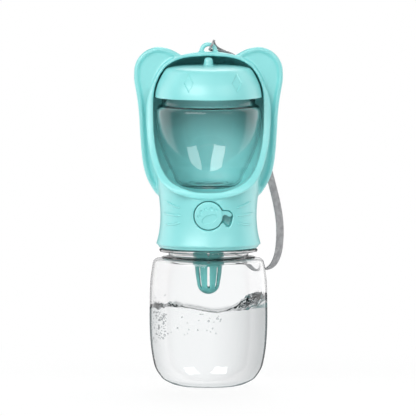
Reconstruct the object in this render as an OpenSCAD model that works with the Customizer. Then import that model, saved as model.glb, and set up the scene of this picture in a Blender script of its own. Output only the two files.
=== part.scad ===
// Travel bottle for a dog: a clear water bottle, a screw-on head with a drinking
// trough and a press valve, and a food cup that sits in the trough.
// Millimetres. +Z is up, the front (the open side of the trough) faces -Y, and the
// origin is the middle of the bottle's foot.

/* [Bottle] */
// Outside diameter of the bottle at its widest
bottle_d = 74; // [72:0.5:78]
// Height of the bottle's shoulder above its foot
shoulder_h = 82.4; // [78:0.2:92]
// Wall of the clear bottle
bottle_wall = 2; // [1.6:0.1:2.6]
// Outside diameter of the bottle's neck
neck_d = 50; // [48.5:0.1:50.6]
// Height of the neck above the shoulder
neck_h = 13.6; // [13:0.2:15]
// Height by which the foot is pushed up in the middle
punt_h = 5; // [3:0.5:6.5]
// Outside diameter of the clear bead round the neck
bead_d = 61.6; // [58:0.2:62]

/* [Screw thread] */
// Rise of the head in one turn
thread_pitch = 4; // [3.8:0.05:4.4]
// Height of the thread above the wall that carries it
thread_depth = 1.5; // [1.2:0.05:1.7]
// Turns of thread on the neck
thread_turns = 1.25; // [1:0.05:1.3]

/* [Collar] */
// Diameter of the collar's bottom edge
skirt_d = 65.4; // [64.6:0.2:68]
// Diameter of the collar at its waist
waist_d = 60.4; // [60:0.1:61.4]
// Wall of the collar round the valve chamber
collar_wall = 2; // [1.6:0.1:2.4]
// Thickness of the deck that closes the neck
deck_t = 2; // [1.8:0.1:2.6]
// Height from the deck to the underside of the trough
chamber_h = 19; // [19:0.2:21]

/* [Trough and hood] */
// Inside diameter of the trough where the cup sits
trough_d = 68.8; // [68:0.2:70]
// Wall of the hood behind the cup
hood_wall = 2; // [1.6:0.1:2.2]
// Thickness of the trough's floor
floor_t = 2; // [1.6:0.1:3]
// Width across both ears
ears_w = 93.4; // [90:0.2:98]
// Thickness of the ears' bead from front to back
ear_t = 3.4; // [3:0.1:4.4]
// Depth of the rim round the trough's opening, from front to back
rim_t = 2.8; // [2.4:0.1:3.4]
// Outside diameter of the hanging ring
ring_d = 11.6; // [11:0.1:13]
// Hole in the hanging ring
ring_hole_d = 5.8; // [5.2:0.1:6.4]

/* [Food cup and lid] */
// Height of the cup from its foot to its shoulder
cup_h = 52; // [48:0.5:60]
// Wall of the cup
cup_wall = 1.7; // [1.4:0.1:2]
// Height of the lid's body
lid_h = 19.8; // [19.4:0.2:23]
// Height of the knob on the lid
lid_knob_h = 4.9; // [4:0.1:6]
// Diameter of the knob on the lid
lid_knob_d = 6; // [5:0.1:7]
// Bayonet lugs on the cup, and as many in the lid
lugs = 4; // [3:1:4]

/* [Lock knob and valve] */
// Diameter of the lock knob's disc
knob_d = 17.6; // [17:0.1:18]
// Travel of the knob when it is pressed
press_travel = 3; // [2:0.1:3.4]
// Diameter of the push rod
rod_d = 3.5; // [3:0.1:3.8]
// Bore of the valve's seat
seat_d = 6.4; // [6:0.1:7]
// Bore of the spring chamber
chamber_d = 10; // [9.8:0.1:10.4]
// Wire of the return spring
spring_wire = 0.55; // [0.45:0.05:0.7]
// Turns of the return spring
spring_turns = 5; // [4:0.5:6]

/* [Strainer] */
// Inside diameter of the strainer's socket
socket_d = 17.2; // [16.8:0.1:17.4]
// Wall of the strainer
cage_wall = 1.2; // [1:0.1:1.3]
// Width of the strainer's slots
slot_w = 1.5; // [1.2:0.1:1.8]
// Number of slots round the strainer
slot_n = 8; // [6:2:10]

/* [Lanyard] */
// Diameter of the thin cord
cord_d = 1.6; // [1.4:0.1:1.8]
// Width of the webbing
strap_w = 8; // [6:0.5:9]
// Thickness of the webbing
strap_t = 1.4; // [1.2:0.1:1.6]

/* [Hidden] */

// Gaps that the pieces are built with
fit = 0.05;        // sliding and seated faces
loose = 0.3;       // pieces that are put in and taken out by hand
knob_gap = 0.35;   // round the lock knob
over = 1;          // by which a cutting shape runs past what it cuts
far = 60;          // past everything in the head

// Colours
teal = [0.60, 0.89, 0.88];
deep_teal = [0.36, 0.70, 0.70];
clear = [0.88, 0.94, 0.95, 0.35];
silicone = [0.85, 0.88, 0.88];
steel = [0.72, 0.73, 0.75];
white = [0.93, 0.94, 0.94];
grey = [0.62, 0.63, 0.64];

// Levels from the foot up
bottle_r = bottle_d / 2;
neck_r = neck_d / 2;
neck_bore_r = neck_r - 2.4;
neck_top = shoulder_h + neck_h;
bead_z = shoulder_h + 1.9;
bead_t = 2;
skirt_z = bead_z + bead_t + 0.4;
sleeve_h = 2.2;
seal_t = 1.6;
deck_z = neck_top + seal_t + 2 * fit;
deck_top = deck_z + deck_t;
trough_z = deck_top + chamber_h;
floor_z = trough_z + floor_t;
skirt_r = skirt_d / 2;
waist_r = waist_d / 2;
collar_top_r = waist_r + 0.8;

// A smooth line through points: n steps between each two
function hermite(a, b, c, d, t) =
    b + (c - a) * t / 2 + (2 * a - 5 * b + 4 * c - d) * t * t / 2
    + (3 * b - a - 3 * c + d) * t * t * t / 2;
function smooth_line(p, n) = let (m = len(p) - 1) concat([
    for (i = [0 : m - 1], k = [0 : n - 1])
        hermite(p[max(i - 1, 0)], p[i], p[i + 1], p[min(i + 2, m)], k / n)],
    [p[m]]);
// The same line moved in by d, to the left of its direction of travel
function moved_in(p, d) = let (m = len(p) - 1) [for (i = [0 : m])
    let (a = p[max(i - 1, 0)], b = p[min(i + 1, m)], u = (b - a) / norm(b - a))
    p[i] + d * [-u[1], u[0]]];
function mirrored(p) = [for (i = [len(p) - 1 : -1 : 0]) [-p[i][0], p[i][1]]];

// Laid along +Y, standing at height z
module along_y(z) translate([0, 0, z]) rotate([-90, 0, 0]) children();
// An outline drawn as (x, z), made solid from y0 to y1
module upright(y0, y1) translate([0, y1, 0]) rotate([90, 0, 0])
    linear_extrude(y1 - y0) children();
module ring(r_out, r_in, h) difference() {
    cylinder(h = h, r = r_out, $fn = 96);
    translate([0, 0, -over]) cylinder(h = h + 2 * over, r = r_in, $fn = 96);
}
module o_ring(r_mid, r_wire) rotate_extrude($fn = 72) translate([r_mid, 0])
    circle(r = r_wire, $fn = 24);
// Part of a ring, from angle a0 to a1, lying on z = 0
module arc_block(r_in, r_out, a0, a1, h) rotate([0, 0, a0])
    rotate_extrude(angle = a1 - a0, $fn = 96)
        translate([r_in, 0]) square([r_out - r_in, h]);

// A tube along points, each ring a closed section turned to the path.
// side is a direction across the path that the section's first axis keeps.
function unit(v) = v / norm(v);
function swept_ring(p, i, sec, side) = let (
    m = len(p) - 1,
    t = unit(p[min(i + 1, m)] - p[max(i - 1, 0)]),
    b = unit(cross(t, side)),
    a = cross(b, t))
    [for (s = sec) p[i] + a * s[0] + b * s[1]];
module swept(p, sec, side) {
    n = len(sec);
    m = len(p);
    rings = [for (i = [0 : m - 1]) each swept_ring(p, i, sec, side)];
    walls = [for (i = [0 : m - 2], k = [0 : n - 1]) let (
        a = i * n + k, b = i * n + (k + 1) % n) each [[a, a + n, b + n], [a, b + n, b]]];
    first = [for (k = [1 : n - 2]) [0, k, k + 1]];
    e = (m - 1) * n;
    last = [for (k = [1 : n - 2]) [e, e + k + 1, e + k]];
    polyhedron(rings, concat(walls, first, last), convexity = 10);
}
function round_section(r, n) = [for (k = [0 : n - 1]) r * [cos(360 * k / n), sin(360 * k / n)]];

// ---------------------------------------------------------------- bottle
foot_r = bottle_r - 17;
punt_r = foot_r - 8;
shoulder_w = bottle_r - neck_r;
bottle_side = [[foot_r, 0], [bottle_r - 13.6, 1.1], [bottle_r - 9, 3.6],
    [bottle_r - 6.5, 6.2], [bottle_r - 3.6, 11], [bottle_r - 2.1, 16.5],
    [bottle_r - 0.7, 26], [bottle_r, 38], [bottle_r, shoulder_h - 30],
    [bottle_r - 0.3, shoulder_h - 18.4], [bottle_r - 0.9, shoulder_h - 12.4],
    [bottle_r - 0.16 * shoulder_w, shoulder_h - 5.8],
    [bottle_r - 0.24 * shoulder_w, shoulder_h - 3],
    [bottle_r - 0.47 * shoulder_w, shoulder_h - 1],
    [bottle_r - 0.79 * shoulder_w, shoulder_h - 0.1], [neck_r + 0.6, shoulder_h]];
bottle_outer = smooth_line(bottle_side, 2);
bottle_inner = moved_in(smooth_line(bottle_side, 2), bottle_wall);
thread_z = skirt_z + 1.4;

// One thread: a ridge from radius r_root to r_tip, wound round Z
module thread(r_root, r_tip, z0, turns) {
    base = 2;
    tip = 0.9;
    per_turn = 36;
    steps = round(turns * per_turn);
    sunk = r_root + 0.4 * sign(r_root - r_tip);
    sec = [[sunk, -base / 2], [r_tip, -tip / 2], [r_tip, tip / 2], [sunk, base / 2]];
    rings = [for (i = [0 : steps], s = sec) let (a = 360 * i / per_turn)
        [s[0] * cos(a), s[0] * sin(a), z0 + thread_pitch * i / per_turn + s[1]]];
    n = 4;
    turned = r_tip > r_root;
    walls = [for (i = [0 : steps - 1], k = [0 : n - 1]) let (
        a = i * n + k, b = i * n + (k + 1) % n) each (turned
        ? [[a, b + n, a + n], [a, b, b + n]] : [[a, a + n, b + n], [a, b + n, b]])];
    e = steps * n;
    ends = turned ? [[0, 2, 1], [0, 3, 2], [e, e + 1, e + 2], [e, e + 2, e + 3]]
        : [[0, 1, 2], [0, 2, 3], [e, e + 2, e + 1], [e, e + 3, e + 2]];
    polyhedron(rings, concat(walls, ends), convexity = 10);
}
module bottle() color(clear) {
    difference() {
        union() {
            rotate_extrude($fn = 128) polygon(concat([[0, 0]], bottle_outer,
                [[neck_r, shoulder_h], [neck_r, neck_top], [0, neck_top]]));
            translate([0, 0, bead_z]) cylinder(h = bead_t, r = bead_d / 2, $fn = 128);
        }
        rotate_extrude($fn = 128) polygon(concat([[0, punt_h + bottle_wall],
            [punt_r - 4, punt_h + bottle_wall], [punt_r + 1, bottle_wall + 0.4],
            [foot_r - 0.5, bottle_wall]], [for (p = bottle_inner)
            if (p[1] > bottle_wall + 0.2 && p[0] > neck_bore_r + 1) p],
            [[neck_bore_r + 1, shoulder_h - bottle_wall], [neck_bore_r, shoulder_h],
            [neck_bore_r, neck_top + over], [0, neck_top + over]]));
        // Stepped hollow under the foot
        translate([0, 0, -over]) cylinder(h = over + punt_h, r = punt_r - 4.2, $fn = 72);
        translate([0, 0, -over]) cylinder(h = over + 0.6, r = punt_r, $fn = 72);
        cylinder(h = punt_h, r1 = punt_r - 0.4, r2 = punt_r - 5, $fn = 72);
    }
    thread(neck_r, neck_r + thread_depth, thread_z, thread_turns);
}
module neck_seal() color(silicone) translate([0, 0, neck_top + fit])
    ring(neck_r + 0.9, neck_bore_r + 0.2, seal_t);

// ---------------------------------------------------------------- collar
axis_z = deck_top + 9.1;
bore_r = neck_r + 2;
well_r = knob_d / 2 + knob_gap;
knob_front = -waist_r - 0.5;
well_depth = 9.2;
well_floor = knob_front + well_depth;
well_wall = 1.5;
boss_x = 13;
boss_r = 2.8;
boss_h = 5;
screw_d = 2.5;
screw_head_r = 2.5;
screw_head_h = 1.8;
screw_foot = 1.4;   // from the boss's end to the screw's
spigot_r = socket_d / 2 - 0.2;
spigot_bore_r = spigot_r - 1.5;
spigot_h = 9.7;
lug_z = deck_z - 6.8;
lug_h = 1.8;
lock_turn = 26;
rod_r = rod_d / 2;

// Outside of the collar, swelled by e
function collar_side(e) = smooth_line([[skirt_r + e, skirt_z + sleeve_h],
    [skirt_r - 0.9 + e, skirt_z + sleeve_h + 3.6], [waist_r + 0.7 + e, deck_z - 0.7],
    [waist_r + 0.15 + e, deck_top + 2.3], [waist_r + e, axis_z - 1.8],
    [waist_r + 0.15 + e, trough_z - 6.7], [collar_top_r + e, trough_z - fit]], 2);
module collar_solid(e) rotate_extrude($fn = 128) polygon(concat([[0, skirt_z]],
    [[skirt_r - 1.8, skirt_z], [skirt_r - 1.2, skirt_z + sleeve_h - 0.2]],
    collar_side(e), [[0, trough_z - fit]]));

// Hooked tail of the knob seen from the front: its top out to the tip, and back under it
tail_top = smooth_line([[8.4, 3.1], [9.4, 2.8], [11.9, 2.75], [13, 2.2], [13.9, 1.4],
    [14.6, 0.5]], 2);
tail_under = smooth_line([[14.4, -0.2], [13.6, -0.85], [13, -0.85], [12.2, -0.35],
    [11.2, 0.25], [10.3, 0.45], [9.6, 0.2], [8.9, -0.5]], 2);
tail_root = [[7, 3.4], [7, -0.6]];
function turned(p, a) = [for (q = p) [q[0] * cos(a) - q[1] * sin(a), q[0] * sin(a) + q[1] * cos(a)]];
function polar(r, a) = r * [cos(a), sin(a)];
// Pocket that the tail swings in, down by lock_turn
tail_reach = norm(tail_top[len(tail_top) - 1]) + knob_gap;
pocket = concat([tail_root[0] + [0, knob_gap]], moved_in(tail_top, knob_gap),
    [for (a = [0 : -2 : -lock_turn]) polar(tail_reach, a)],
    turned(moved_in(tail_under, knob_gap), -lock_turn), turned([tail_root[1]], -lock_turn));
// Raised whiskers: [inner end, outer end] as (x, z) from the knob's centre
whisker_w = 0.6;
whiskers = [[[17.6, 4.2], [26.6, 7.2]], [[17.6, -0.4], [27.8, 0.6]],
    [[17.8, -5.2], [27, -6.6]]];
module whisker_set() intersection() {
    collar_solid(0.25);
    union() for (side = [-1, 1], w = whiskers) {
        v = w[1] - w[0];
        translate([side * w[0][0], -far, axis_z + w[0][1]])
            rotate([0, -side * atan2(v[1], v[0]), 0]) mirror([side < 0 ? 1 : 0, 0, 0])
                translate([0, 0, -whisker_w / 2]) cube([norm(v), far, whisker_w]);
    }
}
module collar() color(teal) {
    difference() {
        union() {
            difference() {
                union() {
                    collar_solid(0);
                    whisker_set();
                }
                // Threaded bore under the deck, and the chamber over it
                translate([0, 0, skirt_z - over])
                    cylinder(h = deck_z - skirt_z + over, r = bore_r, $fn = 128);
                translate([0, 0, deck_top])
                    cylinder(h = chamber_h + over, r = waist_r - collar_wall, $fn = 128);
            }
            // Walls and floor of the knob's well
            intersection() {
                collar_solid(0);
                union() {
                    along_y(axis_z) translate([0, 0, -far])
                        cylinder(h = far + well_floor + well_wall, r = well_r + well_wall,
                            $fn = 96);
                    upright(-far, well_floor + well_wall) translate([0, axis_z])
                        polygon(concat([[0, 0]], [for (a = [26 : -4 : -42])
                            polar(tail_reach + well_wall, a)]));
                }
                translate([-far, -far, deck_z]) cube([2 * far, 2 * far, far]);
            }
            // Spigot that carries the strainer, with two lugs
            translate([0, 0, deck_z - spigot_h])
                cylinder(h = spigot_h + over, r = spigot_r, $fn = 72);
            translate([0, 0, lug_z - lug_h / 2]) for (a = [0, 180])
                arc_block(spigot_r - over, spigot_r + 1.1, a - 6.5, a + 6.5, lug_h);
            for (s = [-1, 1]) translate([s * boss_x, 0, deck_z - boss_h])
                cylinder(h = boss_h + over, r = boss_r, $fn = 32);
        }
        along_y(axis_z) translate([0, 0, -far]) {
            cylinder(h = far + well_floor, r = well_r, $fn = 96);
            cylinder(h = far, r = rod_r + 0.45, $fn = 48);
        }
        upright(-far, well_floor) translate([0, axis_z]) polygon(pocket);
        translate([0, 0, deck_z - spigot_h - over])
            cylinder(h = spigot_h + deck_t + 2 * over, r = spigot_bore_r, $fn = 72);
        for (s = [-1, 1]) translate([s * boss_x, 0, deck_z - boss_h + 1])
            cylinder(h = far, r = screw_d / 2 + fit, $fn = 32);
    }
    thread(bore_r, bore_r - thread_depth, thread_z + thread_pitch / 2, thread_turns);
}

// ---------------------------------------------------------------- trough
// Heights in the head are drawn for the standard cup and lid, then stretched
trough_r = trough_d / 2;
rib_h = 3.3;
seat_gap = loose;
lid_gap = 4.9;
top_gap = 0.9;
cup_z = floor_z + rib_h + seat_gap;
cup_top = cup_z + cup_h;
lid_z = cup_top + lid_gap;
lid_top = lid_z + lid_h;
cavity_top = lid_top + lid_knob_h + top_gap;
// Level drawn at height z over the trough's underside: 62.5 up to the lid, 25.6 over it
draw_lid = 62.5;
draw_top = 88.1;
function level(z) = z < draw_lid
    ? trough_z + z * (lid_z - trough_z) / draw_lid
    : lid_z + (z - draw_lid) * (cavity_top - lid_z) / (draw_top - draw_lid);
function head_point(x, z) = [trough_r + x, level(z)];
// Opening of the trough seen from the front, right half, from the lip to the hood's top.
// The same line, turned round Z, is the hollow behind it.
opening_side = smooth_line([for (p = [[-34.4, 4.5], [-29, 4.8], [-23.6, 5.6], [-14, 9.3],
    [-8.3, 14.2], [-4.4, 20.9], [-1.7, 29.9], [-0.4, 39.1], [0, 47.3], [0, 61.3],
    [-0.4, 65.8], [-1.1, 69.3], [-3, 74.3], [-5, 77.8], [-7.5, 81.1], [-12.4, 84.5],
    [-20.4, 87.1], [-34.4, 88.1]]) head_point(p[0], p[1])], 2);
// Bowl sunk below the lip
bowl_r = trough_r - 6.9;
bowl_side = concat(smooth_line([[bowl_r - 10.5, floor_z], [bowl_r - 6, floor_z + 1.6],
    [bowl_r - 2.3, floor_z + 5.1], [bowl_r - 0.3, floor_z + 9.8], [bowl_r, level(15)]], 2),
    [[bowl_r, level(22)], [0, level(22)], [0, floor_z]]);
// Outside of the bowl below and of the hood above
bowl_outer = smooth_line([[collar_top_r, trough_z], [collar_top_r + 0.4, level(4)],
    [collar_top_r + 1.2, level(12)], [trough_r - 0.9, level(21)],
    [trough_r + 0.7, level(30)], [trough_r + 1.6, level(38)]], 2);
hood_outer = moved_in(opening_side, -hood_wall);
// Front face of the rim, as (y, height over the trough's underside)
rim_face = smooth_line([for (p = [[-32.6, -1], [-32.6, 4.5], [-30.6, 8.5], [-27.6, 12.5],
    [-23.2, 17.3], [-18.6, 23.3], [-13.4, 31.3], [-9.6, 39.3], [-6.8, 47.3],
    [-4.6, 56.3], [-2.8, 66.3], [-1.2, 76.3], [0, 84.3], [1, 93]])
    [p[0] * trough_r / 34.4, level(p[1])]], 2);
// Outer edge of the rim seen from the front
rim_outer = smooth_line([for (p = [[-34.4, 0.2], [-27.4, 0.7], [-20.3, 1.9], [-10.8, 5.7],
    [-4.4, 11.2], [0.1, 20.3], [2.6, 29.7], [4, 39], [4.5, 48.3], [4.4, 58], [3, 65.4],
    [-0.5, 73], [-5.4, 80.6], [-11.6, 86], [-17.8, 88.7], [-26, 90.3], [-34.4, 90.8]])
    head_point(p[0], p[1])], 2);
// Outer edge of the right ear
ear_x = ears_w / 2 - trough_r;
ear_edge = smooth_line([for (p = [[-6, 1.6], [-3.2, 0.4], [-0.2, 3.4], [3.9, 10.6],
    [6.4, 19], [7.7, 28.6], [8.6, 41.4], [9.1, 50.4], [9.7, 56.8], [10.6, 63.3],
    [12, 71.3], [12.3, 76.1], [11.7, 82.3], [9.2, 87.3], [5.1, 91.2], [0.6, 93.2],
    [-3.6, 93.7], [-10.3, 92.4], [-17, 88.8], [-22, 85]])
    [trough_r + p[0] * (p[0] > 0 ? ear_x / 12.3 : 1), level(p[1])]], 2);
ear_front = 0.6;
ear_dish = 1.6;
ear_bead = 2.6;
ring_y = [2, 5];
ring_z = cavity_top + hood_wall + 0.9;
outlet_y = -4.3;
outlet_r = 4.2;
plug_a = [-50, 230];

module cavity() {
    rotate_extrude(angle = 180, $fn = 128) polygon(opening_side);
    upright(-far, 0) polygon(concat(opening_side, mirrored(opening_side)));
}
// Round at the back; in front the walls run straight on to the rim
module shell() {
    rotate_extrude(angle = 180, $fn = 128) polygon(concat([[0, trough_z]], bowl_outer,
        [for (p = hood_outer) if (p[1] > level(42) && p[0] > 1) p],
        [[0, cavity_top + hood_wall]]));
    rotate_extrude($fn = 128) polygon(concat([[0, trough_z]],
        [for (p = bowl_outer) if (p[1] < level(22)) p],
        [[trough_r - 5, level(29)], [0, level(29)]]));
    upright(-far, 0) polygon(concat(hood_outer, mirrored(hood_outer)));
}
module rim() intersection() {
    upright(-far, far) polygon(concat(rim_outer, mirrored(rim_outer)));
    rotate([90, 0, 90]) translate([0, 0, -far]) linear_extrude(2 * far)
        polygon(concat(rim_face, [for (i = [len(rim_face) - 1 : -1 : 0])
            rim_face[i] + [rim_t, 0]]));
}
module ear_outline() polygon(concat(ear_edge, [[trough_r - 12, level(50)]]));
module ears() for (side = [0, 1]) mirror([side, 0, 0]) difference() {
    upright(ear_front, ear_front + ear_t) ear_outline();
    upright(ear_front - over, ear_front + ear_dish) offset(delta = -ear_bead) ear_outline();
}
module trough() color(teal) {
    trough_ribs();
    difference() {
    union() {
        // Bowl and hood behind the rim
        intersection() {
            shell();
            rotate([90, 0, 90]) translate([0, 0, -far]) linear_extrude(2 * far)
                polygon(concat(rim_face, [[far, level(93)], [far, level(-1)]]));
        }
        rim();
        ears();
        difference() {
            upright(ring_y[0], ring_y[1]) translate([0, ring_z]) circle(d = ring_d, $fn = 64);
            upright(ring_y[0] - over, ring_y[1] + over) translate([0, ring_z])
                circle(d = ring_hole_d, $fn = 48);
        }
        // Spigot that plugs into the collar, open at the front for the knob's well
        translate([0, 0, trough_z - 3.6]) arc_block(waist_r - collar_wall - 2.1,
            waist_r - collar_wall - 0.1, plug_a[0], plug_a[1], 3.6 + over);
    }
    cavity();
    rotate_extrude($fn = 128) polygon(bowl_side);
    translate([0, outlet_y, trough_z - over])
        cylinder(h = floor_t + 2 * over, r = outlet_r + 2 * fit, $fn = 48);
    }
}
// Two ribs that the cup's foot stands on
module trough_ribs() for (s = [-1, 1]) translate([s * 9 - 1.2, -9, floor_z - over])
    cube([2.4, 20, rib_h + over]);

// ---------------------------------------------------------------- valve
block_x = 9;
block_y = [-14, 15];
block_z = deck_top + fit;
block_top = axis_z + 7.4;
seat_y = [-0.5, 1];
gland_y = -8.6;
gland_r = 3.4;
inlet_y = 4.6;
cap_face = 11.5;
plug_r = chamber_d / 2 - 0.6;
plug_t = 2.15;
o_ring_r = 0.65;
inlet_ring_r = spigot_bore_r + 1.1;
ear_h = 3;

module valve_block() color(white) difference() {
    union() {
        translate([-block_x, block_y[0], block_z])
            cube([2 * block_x, block_y[1] - block_y[0], block_top - block_z]);
        translate([0, outlet_y, block_top - over])
            cylinder(h = floor_z - block_top + over, r = outlet_r, $fn = 48);
        for (s = [-1, 1]) translate([s * boss_x, 0, block_z])
            cylinder(h = ear_h, r = 3.6, $fn = 32);
        translate([-boss_x, -3.6, block_z]) cube([2 * boss_x, 7.2, ear_h]);
    }
    along_y(axis_z) {
        translate([0, 0, seat_y[1]]) cylinder(h = far, r = chamber_d / 2, $fn = 64);
        translate([0, 0, gland_y]) cylinder(h = far, r = rod_r + 0.25, $fn = 48);
        translate([0, 0, gland_y + 0.6])
            cylinder(h = seat_y[0] - gland_y - 0.6, r = 4.2, $fn = 64);
        cylinder(h = 2 * seat_y[1], r = seat_d / 2, center = true, $fn = 64);
        translate([0, 0, block_y[0] - over])
            cylinder(h = gland_y - block_y[0] + over, r = gland_r, $fn = 64);
    }
    translate([0, inlet_y, block_z - over]) cylinder(h = axis_z - block_z, r = 3, $fn = 48);
    translate([0, outlet_y, axis_z]) cylinder(h = far, r = outlet_r - 1.6, $fn = 48);
    translate([0, 0, block_z - over])
        ring(inlet_ring_r + o_ring_r + 0.1, inlet_ring_r - o_ring_r - 0.1, 2 * o_ring_r + over);
    for (s = [-1, 1]) translate([s * boss_x, 0, block_z - over])
        cylinder(h = far, r = screw_d / 2 + 0.25, $fn = 32);
}
module inlet_seal() color(silicone) translate([0, 0, deck_top + o_ring_r + 0.02])
    o_ring(inlet_ring_r, o_ring_r);
module outlet_seal() color(silicone) translate([0, outlet_y, block_top + fit])
    ring(outlet_r + 2.1, outlet_r + fit, trough_z - block_top - 2 * fit);
cap_ring_r = 0.5;
module valve_end_cap() color(white) along_y(axis_z) difference() {
    union() {
        translate([0, 0, block_y[1] + fit]) cylinder(h = 2, r = chamber_d / 2 + 1.8, $fn = 64);
        translate([0, 0, cap_face])
            cylinder(h = block_y[1] - cap_face + over, r = chamber_d / 2 - fit, $fn = 64);
    }
    translate([0, 0, 13.2 - cap_ring_r - 0.1])
        ring(chamber_d, chamber_d / 2 - 2 * cap_ring_r - 0.15, 2 * cap_ring_r + 0.2);
}
module end_cap_seal() color(silicone) along_y(axis_z) translate([0, 0, 13.2])
    o_ring(chamber_d / 2 - cap_ring_r - fit, cap_ring_r);
knob_back = well_floor - 0.6 - press_travel;
rod_front = knob_back - 2.8;
module push_rod() color(steel) along_y(axis_z) {
    translate([0, 0, rod_front]) cylinder(h = 8 - rod_front, r = rod_r, $fn = 48);
    translate([0, 0, seat_y[0] - 0.2]) cylinder(h = 0.7, r = seat_d / 2 - 0.6, $fn = 48);
}
module valve_plug() color(silicone) along_y(axis_z) difference() {
    union() {
        translate([0, 0, seat_y[1] + fit]) cylinder(h = plug_t, r = plug_r, $fn = 64);
        translate([0, 0, seat_y[0] + 0.55])
            cylinder(h = seat_y[1] - seat_y[0], r = seat_d / 2 - 0.3, $fn = 64);
    }
    translate([0, 0, -over]) cylinder(h = far, r = rod_r + fit, $fn = 48);
}
module rod_seals() color(silicone) along_y(axis_z) for (y = [-9.5, -11.2])
    translate([0, 0, y]) o_ring((gland_r + rod_r) / 2, (gland_r - rod_r) / 2 - fit);
module gland_washer() color(steel) along_y(axis_z) translate([0, 0, -13.6])
    ring(gland_r - fit, rod_r + 2 * fit, 1.4);
spring_r = (plug_r + rod_r) / 2;
spring_y = [seat_y[1] + fit + plug_t + fit, cap_face - fit];
module return_spring() color(steel) {
    w = spring_wire / 2;
    per_turn = 12;
    rings = round(spring_turns * per_turn);
    rise = spring_y[1] - spring_y[0] - 2 * w;
    points = [for (i = [0 : rings]) let (a = 360 * i / per_turn) [spring_r * cos(a),
        spring_y[0] + w + rise * i / rings, axis_z + spring_r * sin(a)]];
    swept(points, round_section(w, 6), [0, 1, 0]);
}

// ---------------------------------------------------------------- lock knob
pad = [5, 2.7];
pad_at = [0.6, -2.2];
paw_turn = 22;
toe_r = 0.95;
toes = [[-5.8, -0.3], [-4.5, 2.4], [-1.7, 4.1], [1.7, 4.3], [4.7, 3.5]];
paw_depth = 0.4;
module lock_knob() color(teal) difference() {
    union() {
        along_y(axis_z) translate([0, 0, knob_front]) {
            cylinder(h = 0.6, r1 = knob_d / 2 - 0.6, r2 = knob_d / 2, $fn = 96);
            translate([0, 0, 0.6])
                cylinder(h = knob_back - knob_front - 0.6, r = knob_d / 2, $fn = 96);
        }
        // Hooked tail, its face curved like the collar
        intersection() {
            upright(-far, knob_back) translate([0, axis_z])
                polygon(concat([tail_root[0]], tail_top, tail_under, [tail_root[1]]));
            cylinder(h = 3 * far, r = waist_r + 0.4, $fn = 128);
        }
    }
    along_y(axis_z) translate([0, 0, rod_front - fit])
        cylinder(h = far, r = rod_r + fit, $fn = 48);
    upright(knob_front - over, knob_front + paw_depth) translate([0, axis_z]) {
        translate(pad_at) rotate(paw_turn)
            polygon([for (k = [0 : 35]) [pad[0] * cos(10 * k), pad[1] * sin(10 * k)]]);
        for (t = toes) translate(t) circle(r = toe_r, $fn = 24);
    }
}

// ---------------------------------------------------------------- strainer
cage_r = socket_d / 2 + cage_wall;
cage_top = deck_z - 0.3;
cage_drop = 25;     // from the shoulder's level to the tip
slot_z = [20.2, 8]; // ends of a slot under the shoulder's level
slit_h = 6;
cage_foot = shoulder_h - cage_drop;
flange_r = cage_r - 0.2;
waist_in = 2.1;     // from the socket's side in to the waist over the flange
tip_r = 7.1;
module strainer_cage() color(deep_teal) difference() {
    rotate_extrude($fn = 72) polygon(concat([[0, cage_foot]],
        [for (a = [-80 : 10 : 0]) [tip_r * cos(a), cage_foot + tip_r + tip_r * sin(a)]],
        [[tip_r + 1, shoulder_h - 9], [tip_r + 1.2, shoulder_h - 7.2],
        [flange_r, shoulder_h - 6.8], [flange_r, shoulder_h - 5.4],
        [cage_r - waist_in, shoulder_h - 5], [cage_r - waist_in, shoulder_h - 2.8],
        [cage_r, shoulder_h - 2.2], [cage_r, cage_top], [0, cage_top]]));
    rotate_extrude($fn = 72) polygon(concat([[0, cage_foot + cage_wall]],
        [for (a = [-80 : 10 : 0]) [(tip_r - cage_wall) * cos(a),
            cage_foot + tip_r + (tip_r - cage_wall) * sin(a)]],
        [[tip_r + 1 - cage_wall, shoulder_h - 9],
        [cage_r - waist_in - cage_wall, shoulder_h - 6],
        [cage_r - waist_in - cage_wall, shoulder_h - 1.6], [socket_d / 2, shoulder_h - 1],
        [socket_d / 2, cage_top + over], [0, cage_top + over]]));
    for (k = [0 : slot_n - 1]) rotate([0, 0, 360 * k / slot_n - 90])
        rotate([0, 90, 0]) translate([0, 0, 3]) {
            translate([slot_z[1] - shoulder_h, -slot_w / 2, 0])
                cube([slot_z[0] - slot_z[1], slot_w, cage_r]);
            for (z = slot_z) translate([z - shoulder_h, 0, 0])
                cylinder(h = cage_r, d = slot_w, $fn = 24);
        }
    // Slit at the front and back of the socket
    translate([-slot_w / 2, -far, shoulder_h - 1]) cube([slot_w, 2 * far, slit_h]);
    // Bayonet slots: a drop from the top, then a turn
    for (a = [0, 180]) {
        translate([0, 0, lug_z - lug_h / 2 - 0.4]) {
            arc_block(spigot_r, cage_r + over, a - 55, a - 35, far);
            arc_block(spigot_r, cage_r + over, a - 55, a + 10, lug_h + 0.8);
        }
    }
}
module valve_screws() color(steel) for (s = [-1, 1]) translate([s * boss_x, 0, 0]) {
    translate([0, 0, block_z + ear_h + fit]) difference() {
        cylinder(h = screw_head_h, r = screw_head_r, $fn = 32);
        for (a = [0, 90]) rotate([0, 0, a])
            translate([-0.3, -over, screw_head_h - 0.8]) cube([0.6, 2 * over, over]);
    }
    translate([0, 0, deck_z - boss_h + screw_foot])
        cylinder(h = block_z + ear_h + 2 * fit - deck_z + boss_h - screw_foot, d = screw_d, $fn = 32);
}

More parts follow.
